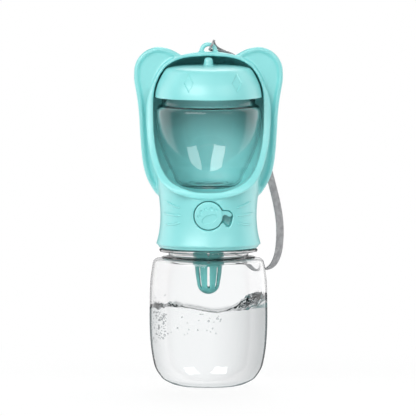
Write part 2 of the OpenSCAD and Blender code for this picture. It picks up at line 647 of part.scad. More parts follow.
// ---------------------------------------------------------------- food cup
cup_room = 0.9;     // between the cup and the trough
cup_step = 4.1;     // from the cup's side in to its neck
cup_r = trough_r - cup_room;
cup_neck_r = cup_r - cup_step;
cup_neck_h = 10.2;
cup_foot_r = 13;
cup_side = smooth_line([for (p = [[-18, 0.5], [-15, 2], [-12.7, 4.5], [-11, 8.5],
    [-8.4, 13.6], [-4.1, 23.4], [-1.4, 32.9], [-0.3, 42.5], [0, 49.2]])
    [cup_r + p[0] * cup_r / 33.5, cup_z + p[1] * cup_h / 52]], 2);
lug_reach = 1.4;
lug_arc = 13;
cup_lug_z = lid_z + 2.1;
module food_cup() color(clear) {
    difference() {
        rotate_extrude($fn = 128) polygon(concat([[0, cup_z + 0.6], [cup_foot_r - 1.5, cup_z + 0.6],
            [cup_foot_r - 1.2, cup_z], [cup_foot_r + 0.6, cup_z]], cup_side,
            [[cup_r, cup_top - 0.8], [cup_r - 0.8, cup_top], [cup_neck_r, cup_top + 0.2],
            [cup_neck_r, cup_top + cup_neck_h], [0, cup_top + cup_neck_h]]));
        rotate_extrude($fn = 128) polygon(concat([[0, cup_z + 0.6 + cup_wall],
            [cup_foot_r, cup_z + 0.6 + cup_wall]], [for (p = moved_in(cup_side, cup_wall))
            if (p[1] > cup_z + cup_wall + 1.2) p],
            [[cup_r - cup_wall, cup_top - cup_wall - 0.6],
            [cup_neck_r - cup_wall, cup_top - cup_wall],
            [cup_neck_r - cup_wall, cup_top + cup_neck_h + over],
            [0, cup_top + cup_neck_h + over]]));
    }
    for (k = [0 : lugs - 1]) translate([0, 0, cup_lug_z])
        arc_block(cup_neck_r - cup_wall / 2, cup_neck_r + lug_reach,
            360 * k / lugs - lug_arc, 360 * k / lugs + lug_arc, 1.6);
}
lid_side = smooth_line([for (p = [[0, 0], [-0.2, 2.8], [-0.8, 5.7], [-1.8, 8.8],
    [-3.1, 11.6], [-4.6, 14.4], [-5.9, 16.4], [-7.1, 17.6], [-8.9, 18.5], [-13.4, 19.2],
    [-21.4, 19.7], [-33.4, 19.8]])
    [cup_r - 0.1 + p[0] * (cup_r - 0.1) / 33.4, lid_z + p[1] * lid_h / 19.8]], 2);
lid_bore_r = cup_neck_r + lug_reach + 0.4;
lid_seal_z = cup_top + cup_neck_h + fit;
lid_seal_t = 1.6;
diamond = [3.2, 5.9];
diamond_depth = 0.35;
diamond_at = [[-12.4, 10.4], [17.8, 10.4]];
module diamonds() upright(-far, 0) for (d = diamond_at) translate([d[0], lid_z + d[1]])
    polygon([[0, -diamond[1]], [diamond[0], 0], [0, diamond[1]], [-diamond[0], 0]]);
module food_lid() color(teal) {
    difference() {
        rotate_extrude($fn = 128) polygon(concat([[0, lid_z]], lid_side));
        translate([0, 0, lid_z - over])
            cylinder(h = lid_seal_z + over - lid_z - 1, r = lid_bore_r, $fn = 96);
        translate([0, 0, lid_z]) cylinder(h = lid_seal_z + lid_seal_t + fit - lid_z,
            r = cup_neck_r + 0.4, $fn = 96);
        translate([0, 0, lid_z]) cylinder(h = lid_h - 2.2, r1 = cup_neck_r - 1,
            r2 = cup_neck_r - 7, $fn = 96);
        intersection() {
            diamonds();
            difference() {
                translate([0, 0, lid_z]) cylinder(h = lid_h, r = far, $fn = 96);
                rotate_extrude($fn = 128) polygon(concat([[0, lid_z]],
                    [for (p = lid_side) [max(p[0] - diamond_depth, 0), p[1]]]));
            }
        }
    }
    for (k = [0 : lugs - 1]) translate([0, 0, lid_z + 0.3])
        arc_block(cup_neck_r + 0.4, lid_bore_r + 0.5, 360 * k / lugs - lug_arc,
            360 * k / lugs + lug_arc, 1.5);
    translate([0, 0, lid_top - 0.5]) {
        cylinder(h = lid_knob_h - 1.3, r1 = lid_knob_d / 2 + 0.2, r2 = lid_knob_d / 2 - 0.5,
            $fn = 48);
        translate([0, 0, lid_knob_h - 1.3]) rotate_extrude($fn = 48)
            polygon(concat([[0, 0]], [for (a = [0 : 15 : 90])
                [(lid_knob_d / 2 - 0.5) * cos(a), 1.8 * sin(a)]]));
    }
}
module lid_seal() color(silicone) translate([0, 0, lid_seal_z])
    ring(cup_neck_r + 0.3, cup_neck_r - cup_wall - 0.6, lid_seal_t);

// ---------------------------------------------------------------- lanyard
// Webbing loop: down beside the bottle, round, and up behind it
strap_route = [[30.2, 34, 172.8], [30.3, 33.8, 170], [30.6, 33, 165], [31.8, 31.4, 157],
    [34, 29.8, 147], [37.2, 28.8, 135], [40.4, 28.3, 123], [43, 28, 112], [44.7, 28, 101],
    [44.9, 28.4, 90], [43.6, 29.6, 80], [40.4, 32, 73], [35.6, 35.4, 70], [30.4, 38.8, 71],
    [26, 41.8, 75.4], [22.8, 44, 83], [21, 45.2, 93], [20.4, 45.6, 105], [20.8, 45.4, 118],
    [21.8, 44.6, 131], [23.4, 43.2, 143], [25.2, 41.2, 154], [27, 38.6, 163],
    [28.2, 36.4, 170], [28.4, 36, 172.8]];
strap_side = [0.58, 0.81, 0];
// Thin cord: out of the clasp, over the hood, through the ring, round it and back
cord_route = [[30.1, 34.4, 180.2], [29.9, 34.2, 182], [27.6, 32.2, 187], [24.5, 28.6, 193],
    [21.7, 24.7, 198.8], [18.5, 19.9, 204], [14.4, 14.2, 207.3], [9.9, 9.4, 209],
    [5.6, 7.4, 209.8], [2.4, 6.3, 210.1], [1.1, 4.9, 210.5], [0.6, 3.5, 210.8],
    [1, 1.3, 211.6], [2, 0.4, 213.5], [3.1, 1.3, 215.5], [3.5, 3.5, 216.3],
    [3.3, 5.7, 215.5], [4, 7.4, 213.6], [5.4, 8.8, 211.8], [7.8, 10.8, 210.2],
    [11.4, 14, 208.3], [14.4, 17.7, 206.1], [16.7, 21.4, 203.4], [19.9, 26.1, 198.8],
    [22.7, 30, 193], [26.2, 33.8, 187], [28.2, 35.5, 182], [28.4, 35.6, 180.2]];
clasp_size = [10, 4.8, 7];
clasp_at = [29.2, 35, 173];
clasp_turn = 54;
module lanyard_strap() color(grey) {
    w = strap_w / 2;
    t = strap_t / 2;
    c = 0.4;
    swept(smooth_line(strap_route, 2), [[w, t - c], [w - c, t], [c - w, t], [-w, t - c],
        [-w, c - t], [c - w, -t], [w - c, -t], [w, c - t]], strap_side);
}
module lanyard_cord() color(grey)
    swept(smooth_line(cord_route, 2), round_section(cord_d / 2, 8), [1, 0.05, 0.02]);
module strap_clasp() color(grey) translate(clasp_at) rotate([0, 0, clasp_turn])
    translate([-clasp_size[0] / 2, -clasp_size[1] / 2, 0]) cube(clasp_size);

bottle();
neck_seal();
collar();
trough();
valve_block();
valve_end_cap();
end_cap_seal();
push_rod();
valve_plug();
rod_seals();
gland_washer();
return_spring();
lock_knob();
outlet_seal();
inlet_seal();
strainer_cage();
valve_screws();
food_cup();
food_lid();
lid_seal();
lanyard_cord();
lanyard_strap();
strap_clasp();
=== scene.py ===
"""A dog's travel water bottle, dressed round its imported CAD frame.

Lengths are millimetres in the frame's own axes: +Z up, the trough opens towards -Y.
Each mesh is drawn in them and brought to metres when it becomes an object.
"""
import math

import bmesh
import bpy
from mathutils import Matrix, Vector, noise


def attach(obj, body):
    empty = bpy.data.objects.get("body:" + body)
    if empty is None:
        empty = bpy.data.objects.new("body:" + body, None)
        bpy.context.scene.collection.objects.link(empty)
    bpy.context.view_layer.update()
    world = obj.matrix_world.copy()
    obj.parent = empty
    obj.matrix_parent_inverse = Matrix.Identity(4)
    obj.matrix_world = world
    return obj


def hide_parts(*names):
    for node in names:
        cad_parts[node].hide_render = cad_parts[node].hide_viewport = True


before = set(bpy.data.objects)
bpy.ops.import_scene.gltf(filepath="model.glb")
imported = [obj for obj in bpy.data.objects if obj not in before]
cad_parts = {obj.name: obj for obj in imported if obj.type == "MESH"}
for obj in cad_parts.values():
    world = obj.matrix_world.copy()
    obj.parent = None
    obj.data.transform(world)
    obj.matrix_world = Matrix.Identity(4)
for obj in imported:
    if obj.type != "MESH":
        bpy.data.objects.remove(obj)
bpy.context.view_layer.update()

scene = bpy.context.scene
scene.view_settings.view_transform = "Standard"
MM = 0.001

# ---- Camera
# A very long lens straight in front, a little above level. The photograph's 416 pixels
# span 260.8 mm at the bottle's axis.
FRAME_SPAN = 260.8 * MM
CAMERA_TILT = math.radians(4.4)
CAMERA_DISTANCE = 8
frame_centre = Vector((-0.3, 0, 111.4)) * MM

lens = bpy.data.cameras.new("camera")
lens.lens = lens.sensor_width * CAMERA_DISTANCE / FRAME_SPAN
camera = bpy.data.objects.new("camera", lens)
camera_side = Vector((0, -math.cos(CAMERA_TILT), math.sin(CAMERA_TILT)))
camera.location = frame_centre + CAMERA_DISTANCE * camera_side
camera.rotation_euler = (math.radians(90) - CAMERA_TILT, 0, 0)
scene.collection.objects.link(camera)
scene.camera = camera


# ---- Lanyard
# Thin grey cord runs from a clasp over the hood, through the hanging ring and back.
# A loop of ribbed polyester webbing hangs from the clasp beside the bottle.
STRAP_ROUTE = [
    (30.2, 34, 172.8), (30.3, 33.8, 170), (30.6, 33, 165), (31.8, 31.4, 157), (34, 29.8, 147),
    (37.2, 28.8, 135), (40.4, 28.3, 123), (43, 28, 112), (44.7, 28, 101), (44.9, 28.4, 90),
    (43.6, 29.6, 80), (40.4, 32, 73), (35.6, 35.4, 70), (30.4, 38.8, 71), (26, 41.8, 75.4),
    (22.8, 44, 83), (21, 45.2, 93), (20.4, 45.6, 105), (20.8, 45.4, 118), (21.8, 44.6, 131),
    (23.4, 43.2, 143), (25.2, 41.2, 154), (27, 38.6, 163), (28.2, 36.4, 170), (28.4, 36, 172.8)]
STRAP_SIDE = Vector((0.58, 0.81, 0))
STRAP_WIDTH = 8
CORD_ROUTE = [
    (30.1, 34.4, 180.2), (29.9, 34.2, 182), (27.6, 32.2, 187), (24.5, 28.6, 193), (21.7, 24.7, 198.8),
    (18.5, 19.9, 204), (14.4, 14.2, 207.3), (9.9, 9.4, 209), (5.6, 7.4, 209.8), (2.4, 6.3, 210.1),
    (1.1, 4.9, 210.5), (0.6, 3.5, 210.8), (1, 1.3, 211.6), (2, 0.4, 213.5), (3.1, 1.3, 215.5),
    (3.5, 3.5, 216.3), (3.3, 5.7, 215.5), (4, 7.4, 213.6), (5.4, 8.8, 211.8), (7.8, 10.8, 210.2),
    (11.4, 14, 208.3), (14.4, 17.7, 206.1), (16.7, 21.4, 203.4), (19.9, 26.1, 198.8), (22.7, 30, 193),
    (26.2, 33.8, 187), (28.2, 35.5, 182), (28.4, 35.6, 180.2)]
CORD_D = 1.6
CLASP_AT, CLASP_SIZE, CLASP_TURN = Vector((29.2, 35, 176.5)), Vector((10, 4.8, 7)), math.radians(54)


def smooth_line(points, steps, closed=False):
    """A smooth line through points, each gap cut in steps. A closed one doesn't repeat its start."""
    rows = [Vector(p) for p in points]
    count = len(rows)
    pick = (lambda i: rows[i % count]) if closed else (lambda i: rows[min(max(i, 0), count - 1)])
    line = []
    for i in range(count if closed else count - 1):
        a, b, c, d = (pick(i + k) for k in (-1, 0, 1, 2))
        for t in (k / steps for k in range(steps)):
            line.append(b + (c - a) * t / 2 + (2 * a - 5 * b + 4 * c - d) * t * t / 2
                        + (3 * b - a - 3 * c + d) * t ** 3 / 2)
    return line if closed else line + [rows[-1]]


def evenly(line, count):
    """The line again, as count points at even distances."""
    reach = [0]
    for a, b in zip(line, line[1:]):
        reach.append(reach[-1] + (b - a).length)
    out, i = [], 0
    for k in range(count):
        want = reach[-1] * k / (count - 1)
        while i < len(line) - 2 and reach[i + 1] < want:
            i += 1
        out.append(line[i].lerp(line[i + 1], (want - reach[i]) / (reach[i + 1] - reach[i])))
    return out


def walls(bm, rings):
    """Faces between closed rings of points, each ring joined to the next."""
    for low, high in zip(rings, rings[1:]):
        for k in range(len(low)):
            n = (k + 1) % len(low)
            bm.faces.new((low[k], low[n], high[n], high[k]))


def skin(bm, rings):
    """A closed solid through rings of points: walls between them and a cap on each end."""
    walls(bm, rings)
    caps = {bm.faces.new(rings[0]), bm.faces.new(rings[-1])}
    made = caps | {face for ring in rings for vert in ring for face in vert.link_faces}
    bmesh.ops.recalc_face_normals(bm, faces=list(made))
    return bm


def sweep(bm, path, side, section):
    """A tube along path. section(i) gives ring i as (across, thick); across keeps to side."""
    rings = []
    for i, point in enumerate(path):
        along = (path[min(i + 1, len(path) - 1)] - path[max(i - 1, 0)]).normalized()
        thick = along.cross(side).normalized()
        across = thick.cross(along)
        rings.append([bm.verts.new(point + across * a + thick * t) for a, t in section(i)])
    return skin(bm, rings)


def circle(count):
    """Angles of count points at even distances round a circle."""
    return [math.tau * k / count for k in range(count)]


def piece(name, bm, finish, body, replaces=(), sharp=35):
    """Makes a drawn mesh an object in metres that rides on a body and stands for CAD nodes."""
    bmesh.ops.scale(bm, vec=(MM,) * 3, verts=bm.verts)
    mesh = bpy.data.meshes.new(name)
    bm.to_mesh(mesh)
    bm.free()
    mesh.shade_smooth()
    mesh.set_sharp_from_angle(angle=math.radians(sharp))
    mesh.materials.append(finish)
    made = bpy.data.objects.new(name, mesh)
    scene.collection.objects.link(made)
    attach(made, body)
    if replaces:
        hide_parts(*replaces)
    return made


class Wire:
    """A socket in a material, so that shader maths reads as sums."""

    def __init__(self, tree, socket):
        self.tree, self.socket = tree, socket

    def make(self, kind, sockets, output=0, **settings):
        """Another node of the same material: its settings first, then values or links."""
        node = self.tree.nodes.new("ShaderNode" + kind)
        for key, value in settings.items():
            setattr(node, key, value)
        for key, value in sockets.items():
            if isinstance(value, Wire):
                self.tree.links.new(value.socket, node.inputs[key])
            else:
                node.inputs[key].default_value = value
        return Wire(self.tree, node.outputs[output])

    def sum(self, operation, a, b):
        return self.make("Math", {0: a, 1: b}, operation=operation)

    def __add__(self, other):
        return self.sum("ADD", self, other)

    def __sub__(self, other):
        return self.sum("SUBTRACT", self, other)

    def __rsub__(self, other):
        return self.sum("SUBTRACT", other, self)

    def __mul__(self, other):
        return self.sum("MULTIPLY", self, other)

    __radd__, __rmul__ = __add__, __mul__

    def noise(self, size, detail=3):
        """Noise from 0 to 1 whose lumps are size mm across."""
        return self.make("TexNoise", {"Vector": self, "Scale": 1 / (size * MM), "Detail": detail})

    def ease(self, low, high):
        """0 below low, 1 above high, smooth between."""
        return self.make("MapRange", {"Value": self, "From Min": low, "From Max": high},
                         interpolation_type="SMOOTHSTEP")

    def blend(self, a, b):
        """Colour a where this is 0 and b where it is 1."""
        return self.make("Mix", {0: self, 6: a, 7: b}, output=2, data_type="RGBA")


def paint(red, green, blue):
    """A colour as a screen shows it, 0 to 255, as the shader wants it."""
    return tuple((c / 255 / 12.92) if c < 10 else ((c / 255 + 0.055) / 1.055) ** 2.4
                 for c in (red, green, blue)) + (1,)


def new_finish(name, **constants):
    """A material: itself, its shader and its Object coordinates."""
    material = bpy.data.materials.new(name)
    material.use_nodes = True
    tree = material.node_tree
    shader = tree.nodes["Principled BSDF"]
    for key, value in constants.items():
        shader.inputs[key.replace("_", " ")].default_value = value
    return material, shader, Wire(tree, tree.nodes.new("ShaderNodeTexCoord").outputs["Object"])


def surface(shader, at, base=None, rough=None, height=None, depth=0.05, strength=0.3):
    """Feeds the shader a colour, a roughness and a relief that is depth mm deep."""
    for socket, wire in (("Base Color", base), ("Roughness", rough)):
        if wire is not None:
            at.tree.links.new(wire.socket, shader.inputs[socket])
    if height is not None:
        bump = at.make("Bump", {"Strength": strength, "Distance": depth * MM, "Height": height})
        at.tree.links.new(bump.socket, shader.inputs["Normal"])


def yarn_finish(name, dark, light, yarn):
    """Spun polyester: matt, with a soft sheen and fibres finer than a yarn."""
    material, shader, at = new_finish(name, Sheen_Weight=0.35, Sheen_Roughness=0.5)
    tone = at.noise(6 * yarn) * 0.5 + at.noise(yarn / 3) * 0.5
    surface(shader, at, tone.ease(0.3, 0.7).blend(dark, light), 0.75 + 0.2 * tone,
            at.noise(yarn / 4), 0.04, 0.5)
    return material


webbing_finish = yarn_finish("grey_webbing", paint(128, 129, 132), paint(178, 179, 181), 0.5)
cord_finish = yarn_finish("grey_cord", paint(98, 99, 102), paint(160, 161, 163), 0.4)

YARN_GAP, YARNS = 0.5, 16
WEAVE_THICK, WEAVE_RISE, SELVEDGE, RIB_NARROW = 0.5, 0.14, 0.35, 0.0875


def webbing_section(i):
    """Warp yarns side by side; every other ring lifts every other yarn, as a plain weave does."""
    columns = [k * STRAP_WIDTH / (2 * YARNS) - STRAP_WIDTH / 2 for k in range(2 * YARNS + 1)]
    narrow = 1 - RIB_NARROW * (i % 2)

    def half(x):
        edge = max(0, 1 - (abs(x) / (STRAP_WIDTH / 2)) ** 8)
        yarn = WEAVE_THICK + WEAVE_RISE * math.cos(math.pi * (x / YARN_GAP + i))
        return yarn * (SELVEDGE + (1 - SELVEDGE) * edge)
    return [(x * narrow, -half(x)) for x in columns] + [(x * narrow, half(x)) for x in reversed(columns)]


STRANDS, STRAND_RISE, STRAND_TURN = 4, 0.1, 0.75


def cord_section(i):
    """Strands laid round each other, one turn in about 3 mm."""
    rows = []
    for a in circle(16):
        radius = CORD_D / 2 - STRAND_RISE * (1 - math.cos(STRANDS * a - i * STRAND_TURN))
        rows.append((radius * math.cos(a), radius * math.sin(a)))
    return rows


strap_path = evenly(smooth_line(STRAP_ROUTE, 12), 560)
strap_mesh = sweep(bmesh.new(), strap_path, STRAP_SIDE, webbing_section)
lanyard_webbing = piece("lanyard_webbing", strap_mesh, webbing_finish, "head", ["lanyard_strap"],
                        sharp=80)
cord_path = evenly(smooth_line(CORD_ROUTE, 12), 340)
cord_mesh = sweep(bmesh.new(), cord_path, Vector((1, 0.05, 0.02)), cord_section)
thin_cord = piece("thin_cord", cord_mesh, cord_finish, "head", ["lanyard_cord"], sharp=80)

CLASP_GREY, CLASP_RIM, CLASP_DISH, CLASP_ROUND = (paint(120, 121, 124), paint(136, 137, 140)), 1.3, 0.5, 0.45
clasp_finish, shader, at = new_finish("clasp_plastic", Coat_Weight=0.15)
surface(shader, at, at.noise(3).blend(*CLASP_GREY), 0.38 + 0.1 * at.noise(1.2), at.noise(0.25), 0.02, 0.2)
bm = bmesh.new()
bmesh.ops.create_cube(bm, size=1)
bmesh.ops.scale(bm, vec=CLASP_SIZE, verts=bm.verts)
for sign in (-1, 1):
    face = max(bm.faces, key=lambda f: sign * f.calc_center_median().y)
    bmesh.ops.inset_region(bm, faces=[face], thickness=CLASP_RIM, depth=0)
    bmesh.ops.translate(bm, vec=(0, -CLASP_DISH * sign, 0), verts=face.verts)
bmesh.ops.bevel(bm, geom=bm.edges, affect="EDGES", offset=CLASP_ROUND, segments=3, profile=0.5, material=-1)
clasp_place = Matrix.Translation(CLASP_AT) @ Matrix.Rotation(CLASP_TURN, 4, "Z")
bmesh.ops.transform(bm, verts=bm.verts, matrix=clasp_place)
clasp = piece("clasp", bm, clasp_finish, "head", ["strap_clasp"])


def path_length(path):
    """A path's length in metres."""
    return sum((b - a).length for a, b in zip(path, path[1:])) * MM


strap_path[0] * MM
path_length(strap_path)
[p * MM for p in strap_path]
cord_path[0] * MM
path_length(cord_path)
[p * MM for p in cord_path]


# ---- Bottle
# Blow-moulded clear copolyester, 2 mm thick, with a pushed-up foot and a threaded neck.
# The bead round the neck is part of it; the head stops just above the bead.
BOTTLE_OUTSIDE = [
    (20, 0), (23.4, 1.1), (28, 3.6), (30.5, 6.2), (33.4, 11), (34.9, 16.5), (36.3, 26), (37, 38),
    (37, 52.4), (36.7, 64), (36.1, 70), (35.1, 76.6), (34.1, 79.4), (31.4, 81.4), (27.5, 82.3), (25.6, 82.5)]
BOTTLE_WALL = 2
NECK_R, NECK_BORE, NECK_TOP = 25, 22.6, 96
BEAD_R, BEAD_LOW, BEAD_HIGH = 30.8, 84.3, 86.3
PUNT = [(0, 5), (5, 5), (5.5, 4.7), (5.7, 4.1), (7.2, 3.9), (7.8, 3.6), (8.1, 2.3), (11, 2), (11.7, 1.6),
        (12.2, 0.2), (12.6, 0)]
FLOOR_INSIDE = [(19.5, 2), (14, 2.1), (12.8, 2.9), (11.6, 4), (8.6, 4.6), (7.6, 5.9), (5.6, 6.7), (0, 7)]
THREAD_PITCH, THREAD_DEPTH, THREAD_TURNS, THREAD_Z = 4, 1.5, 1.25, 88.1


def moved(line, distance):
    """An open line moved by distance to the left of its direction of travel."""
    out = []
    for i, point in enumerate(line):
        along = (line[min(i + 1, len(line) - 1)] - line[max(i - 1, 0)]).normalized()
        out.append(point + distance * Vector((-along.y, along.x)))
    return out


def lathe(bm, profile, steps=144):
    """Turns an outline of (radius, height) round Z. An outline with both ends on the axis closes."""
    verts = [bm.verts.new((p[0], 0, p[1])) for p in profile]
    edges = [bm.edges.new(pair) for pair in zip(verts, verts[1:])]
    bmesh.ops.spin(bm, geom=verts + edges, axis=(0, 0, 1), cent=(0, 0, 0), angle=math.tau, steps=steps,
                   use_merge=True)
    bmesh.ops.remove_doubles(bm, verts=bm.verts, dist=0.0005)
    bmesh.ops.recalc_face_normals(bm, faces=bm.faces)
    return bm


def thread(bm, root, tip, z):
    """A ridge wound round Z, sunk a little in the wall that carries it and faded at both ends."""
    per_turn, fade_over = 72, 6
    steps = round(THREAD_TURNS * per_turn)
    sunk = math.copysign(0.3, root - tip)
    rings = []
    for i in range(steps + 1):
        a = math.tau * i / per_turn
        out, level = Vector((math.cos(a), math.sin(a), 0)), Vector((0, 0, z + THREAD_PITCH * i / per_turn))
        crest = (tip - root) * (min(1, i / fade_over, (steps - i) / fade_over) * 0.9 + 0.1)
        rings.append([bm.verts.new(level + out * (root + reach) + Vector((0, 0, h)))
                      for h, reach in ((-1, sunk), (-0.45, crest), (0.45, crest), (1, sunk))])
    return skin(bm, rings)


def clear_finish(name, tint, ior):
    """Clear plastic or water. Lamps shine through it, so what it holds is lit."""
    material, shader, at = new_finish(name, Transmission_Weight=1, IOR=ior, Base_Color=tint)
    surface(shader, at, rough=0.02 * at.noise(14), height=at.noise(22), depth=0.03, strength=0.15)
    through = at.make("BsdfTransparent", {"Color": tint})
    lit = at.make("LightPath", {}, output="Is Shadow Ray")
    mixed = at.make("MixShader", {0: lit, 1: Wire(at.tree, shader.outputs[0]), 2: through})
    at.tree.links.new(mixed.socket, at.tree.nodes["Material Output"].inputs["Surface"])
    return material


bottle_finish = clear_finish("clear_copolyester", (0.988, 0.988, 0.99, 1), 1.5)
outside = smooth_line(BOTTLE_OUTSIDE, 6)
inside = [p for p in moved(outside, BOTTLE_WALL) if p.y > BOTTLE_WALL + 0.3 and p.x > NECK_BORE + 1.2]
neck_outside = [(NECK_R + 0.15, 82.6), (NECK_R, 83), (NECK_R, BEAD_LOW - 0.3), (NECK_R + 0.4, BEAD_LOW)]
bead = [(BEAD_R - 0.6, BEAD_LOW), (BEAD_R - 0.15, BEAD_LOW + 0.2), (BEAD_R, BEAD_LOW + 0.7),
        (BEAD_R, BEAD_HIGH - 0.7), (BEAD_R - 0.15, BEAD_HIGH - 0.2), (BEAD_R - 0.6, BEAD_HIGH)]
neck_top = [(NECK_R, BEAD_HIGH + 0.01), (NECK_R, NECK_TOP - 0.5), (NECK_R - 0.5, NECK_TOP),
            (NECK_BORE + 0.5, NECK_TOP), (NECK_BORE, NECK_TOP - 0.5), (NECK_BORE, 82.8),
            (NECK_BORE + 0.7, 81)]
bottle_mesh = lathe(bmesh.new(), [*PUNT, *outside, *neck_outside, *bead, *neck_top, *reversed(inside),
                                  *FLOOR_INSIDE])
thread(bottle_mesh, NECK_R, NECK_R + THREAD_DEPTH, THREAD_Z)
bottle = piece("clear_bottle", bottle_mesh, bottle_finish, "bottle_body", ["bottle"],
               sharp=50)


# ---- Water
# Just over half a bottle, still moving: it has run up the right-hand side and left bubbles
# at the left. It isn't a CAD piece; it rides on the bottle.
WATER_Z = 48.6
WATER_SWELL = [(-22, 1.9, 9), (4, -2.2, 9), (-34, 0.6, 5)]
WATER_RISE, RISE_FROM, RISE_TO = 8, 12, 33
RIPPLES = [(4.4, 5, 4, 3.6), (2.1, 2.1, 9, 1.7)]
CALM_AT, CALM_HALF, CALM_EDGE, CALM_RIPPLE, WATER_TILT = -2, 12, 14, 0.07, 0.055
STIRRED, MESH_STEP = 12, 0.6
MENISCUS, MENISCUS_WIDE = 1.3, 0.6
MENISCUS_STEPS = (0.12, 0.3, 0.5, 0.75, 1.05, 1.4)
IN_WALL, UNDER_FLOOR = 0.15, 0.1
BUBBLES, SPRAY = 150, 14


def surge(x, y):
    """Height of the water over its mean level."""
    swell = sum(high * math.exp(-((x - at) / wide) ** 2) for at, high, wide in WATER_SWELL)
    t = min(max((x - RISE_FROM) / (RISE_TO - RISE_FROM), 0), 1)
    rough = min(1, max(abs(x - CALM_AT) - CALM_HALF, 0) / CALM_EDGE)
    ripple = sum(high * noise.noise(Vector((x / wide, y / deep, seed))) for wide, deep, seed, high in RIPPLES)
    return (swell + WATER_RISE * t * t * (3 - 2 * t) + ripple * (CALM_RIPPLE + (1 - CALM_RIPPLE) * rough)
            - WATER_TILT * y)


def reach_at(line):
    """Gives, for a height, how far out a line of (out, up) points is there."""
    def reach(z):
        low = max((p for p in line if p.y <= z), key=lambda p: p.y)
        high = min((p for p in line if p.y > z), key=lambda p: p.y)
        return low.x + (high.x - low.x) * (z - low.y) / (high.y - low.y)
    return reach


wall_at = reach_at(inside)
water_finish = clear_finish("water", (0.994, 0.995, 0.997, 1), 1.333)
on_floor = [(x, z - UNDER_FLOOR) for x, z in reversed(FLOOR_INSIDE)]
below = [(p.x + IN_WALL, p.y) for p in inside if p.y < WATER_Z - STIRRED]
levels = [WATER_Z - STIRRED + MESH_STEP * k for k in range(20)] + [WATER_Z]
brim = wall_at(WATER_Z) + IN_WALL
top = [(brim, WATER_Z + MENISCUS)]
top += [(brim - d, WATER_Z + MENISCUS * math.exp(-d / MENISCUS_WIDE)) for d in MENISCUS_STEPS]
top += [(brim - MENISCUS_STEPS[-1] - MESH_STEP * k, WATER_Z) for k in range(1, 55)] + [(0, WATER_Z)]
stirred = [(wall_at(z) + IN_WALL, z) for z in levels]
water_mesh = lathe(bmesh.new(), on_floor + below + stirred + top, steps=288)
for vert in water_mesh.verts:
    x, y, z = vert.co
    share = min(max((z - WATER_Z + STIRRED) / STIRRED, 0), 1)
    height = z + surge(x, y) * share * share
    if share > 0:
        stretch = (wall_at(height) + IN_WALL) / (wall_at(z) + IN_WALL)
        vert.co = (x * stretch, y * stretch, height)
for k in range(SPRAY):
    a, b, c = (0.5 + 0.5 * noise.cell(Vector((k, seed, 7))) for seed in (1, 2, 3))
    x, z = -35 + 9 * a * a, WATER_Z + 4 + 9 * b * b
    y = -0.9 * math.sqrt(max(wall_at(z) ** 2 - x * x, 0))
    bmesh.ops.create_icosphere(water_mesh, subdivisions=2, radius=0.25 + 0.25 * c,
                               matrix=Matrix.Translation((x, y, z)))
water = piece("water", water_mesh, water_finish, "bottle_body", sharp=70)

bubble_finish = clear_finish("air_bubble", (0.9, 0.94, 0.95, 1), 0.75)
bubble_mesh = bmesh.new()
for k in range(BUBBLES):
    spread = [0.5 + 0.5 * noise.cell(Vector((k, seed, 3))) for seed in (1, 2, 3, 4)]
    crowd = k < 0.7 * BUBBLES
    x = -35 + (11 * spread[0] if crowd else 42 * spread[0] ** 1.6)
    z = WATER_Z - 1.5 - (19 * spread[1] ** 1.4 if crowd else 13 * spread[1])
    y = -math.sqrt(max(wall_at(z) ** 2 - x * x, 0)) * (0.4 + 0.5 * spread[2])
    if math.hypot(x, y) < wall_at(z) - 1:
        bmesh.ops.create_icosphere(bubble_mesh, subdivisions=2, radius=0.32 + 0.5 * spread[3] ** 4,
                                   matrix=Matrix.Translation((x, y, z)))
bubbles = piece("air_bubbles", bubble_mesh, bubble_finish, "bottle_body")


# ---- Head moulding: collar and trough
# Injection-moulded teal polypropylene with a satin skin. The collar screws on the neck; the
# trough with its hood, ears and hanging ring is welded to it, and no seam shows outside.
SEAM_Z = 118.68
COLLAR_MOUTH = [(0, 86.7), (30.9, 86.7), (31.4, 88.5)]
COLLAR_SIDE = [(31.5, 88.75), (32.55, 88.85), (32.7, 89.15), (32.4, 90.4), (31.8, 92.6), (30.9, 97),
               (30.35, 102), (30.2, 107), (30.35, 112), (31, SEAM_Z)]
BOWL_SIDE = [(31, SEAM_Z), (31.4, 122.7), (32.2, 130.7), (33.5, 139.7), (35, 148.7), (35.9, 156.7),
             (36.4, 165)]
OPENING = [(0, 123.2), (5.4, 123.5), (10.8, 124.3), (20.4, 128), (26.1, 132.9), (30, 139.6), (32.7, 148.6),
           (34, 157.8), (34.4, 166), (34.4, 180), (34, 184.5), (33.3, 188), (31.4, 193), (29.4, 196.5),
           (26.9, 199.8), (22, 203.2), (14, 205.8), (0, 206.8)]
RIM_EDGE = [(0, 118.9), (7, 119.4), (14.1, 120.6), (23.6, 124.4), (30, 129.9), (34.5, 139), (37, 148.4),
            (38.4, 157.7), (38.9, 167), (38.8, 176.7), (37.4, 184.1), (33.9, 191.7), (29, 199.3),
            (22.8, 204.7), (16.6, 207.4), (8.4, 209), (0, 209.5)]
RIM_FACE = [(-32.6, 117.7), (-32.6, 123.2), (-30.6, 127.2), (-27.6, 131.2), (-23.2, 136), (-18.6, 142),
            (-13.4, 150), (-9.6, 158), (-6.8, 166), (-4.6, 175), (-2.8, 185), (-1.2, 195), (0, 203),
            (1, 211.7)]
RIM_DEPTH, RIM_CROWN, RIM_INSIDE, RIM_SUNK = 2.8, 1.3, 0.12, 0.6
HOOD_WALL, HOOD_LOW, HOOD_TOP, HOOD_FROM = 2, 121.2, 208.8, 166.5
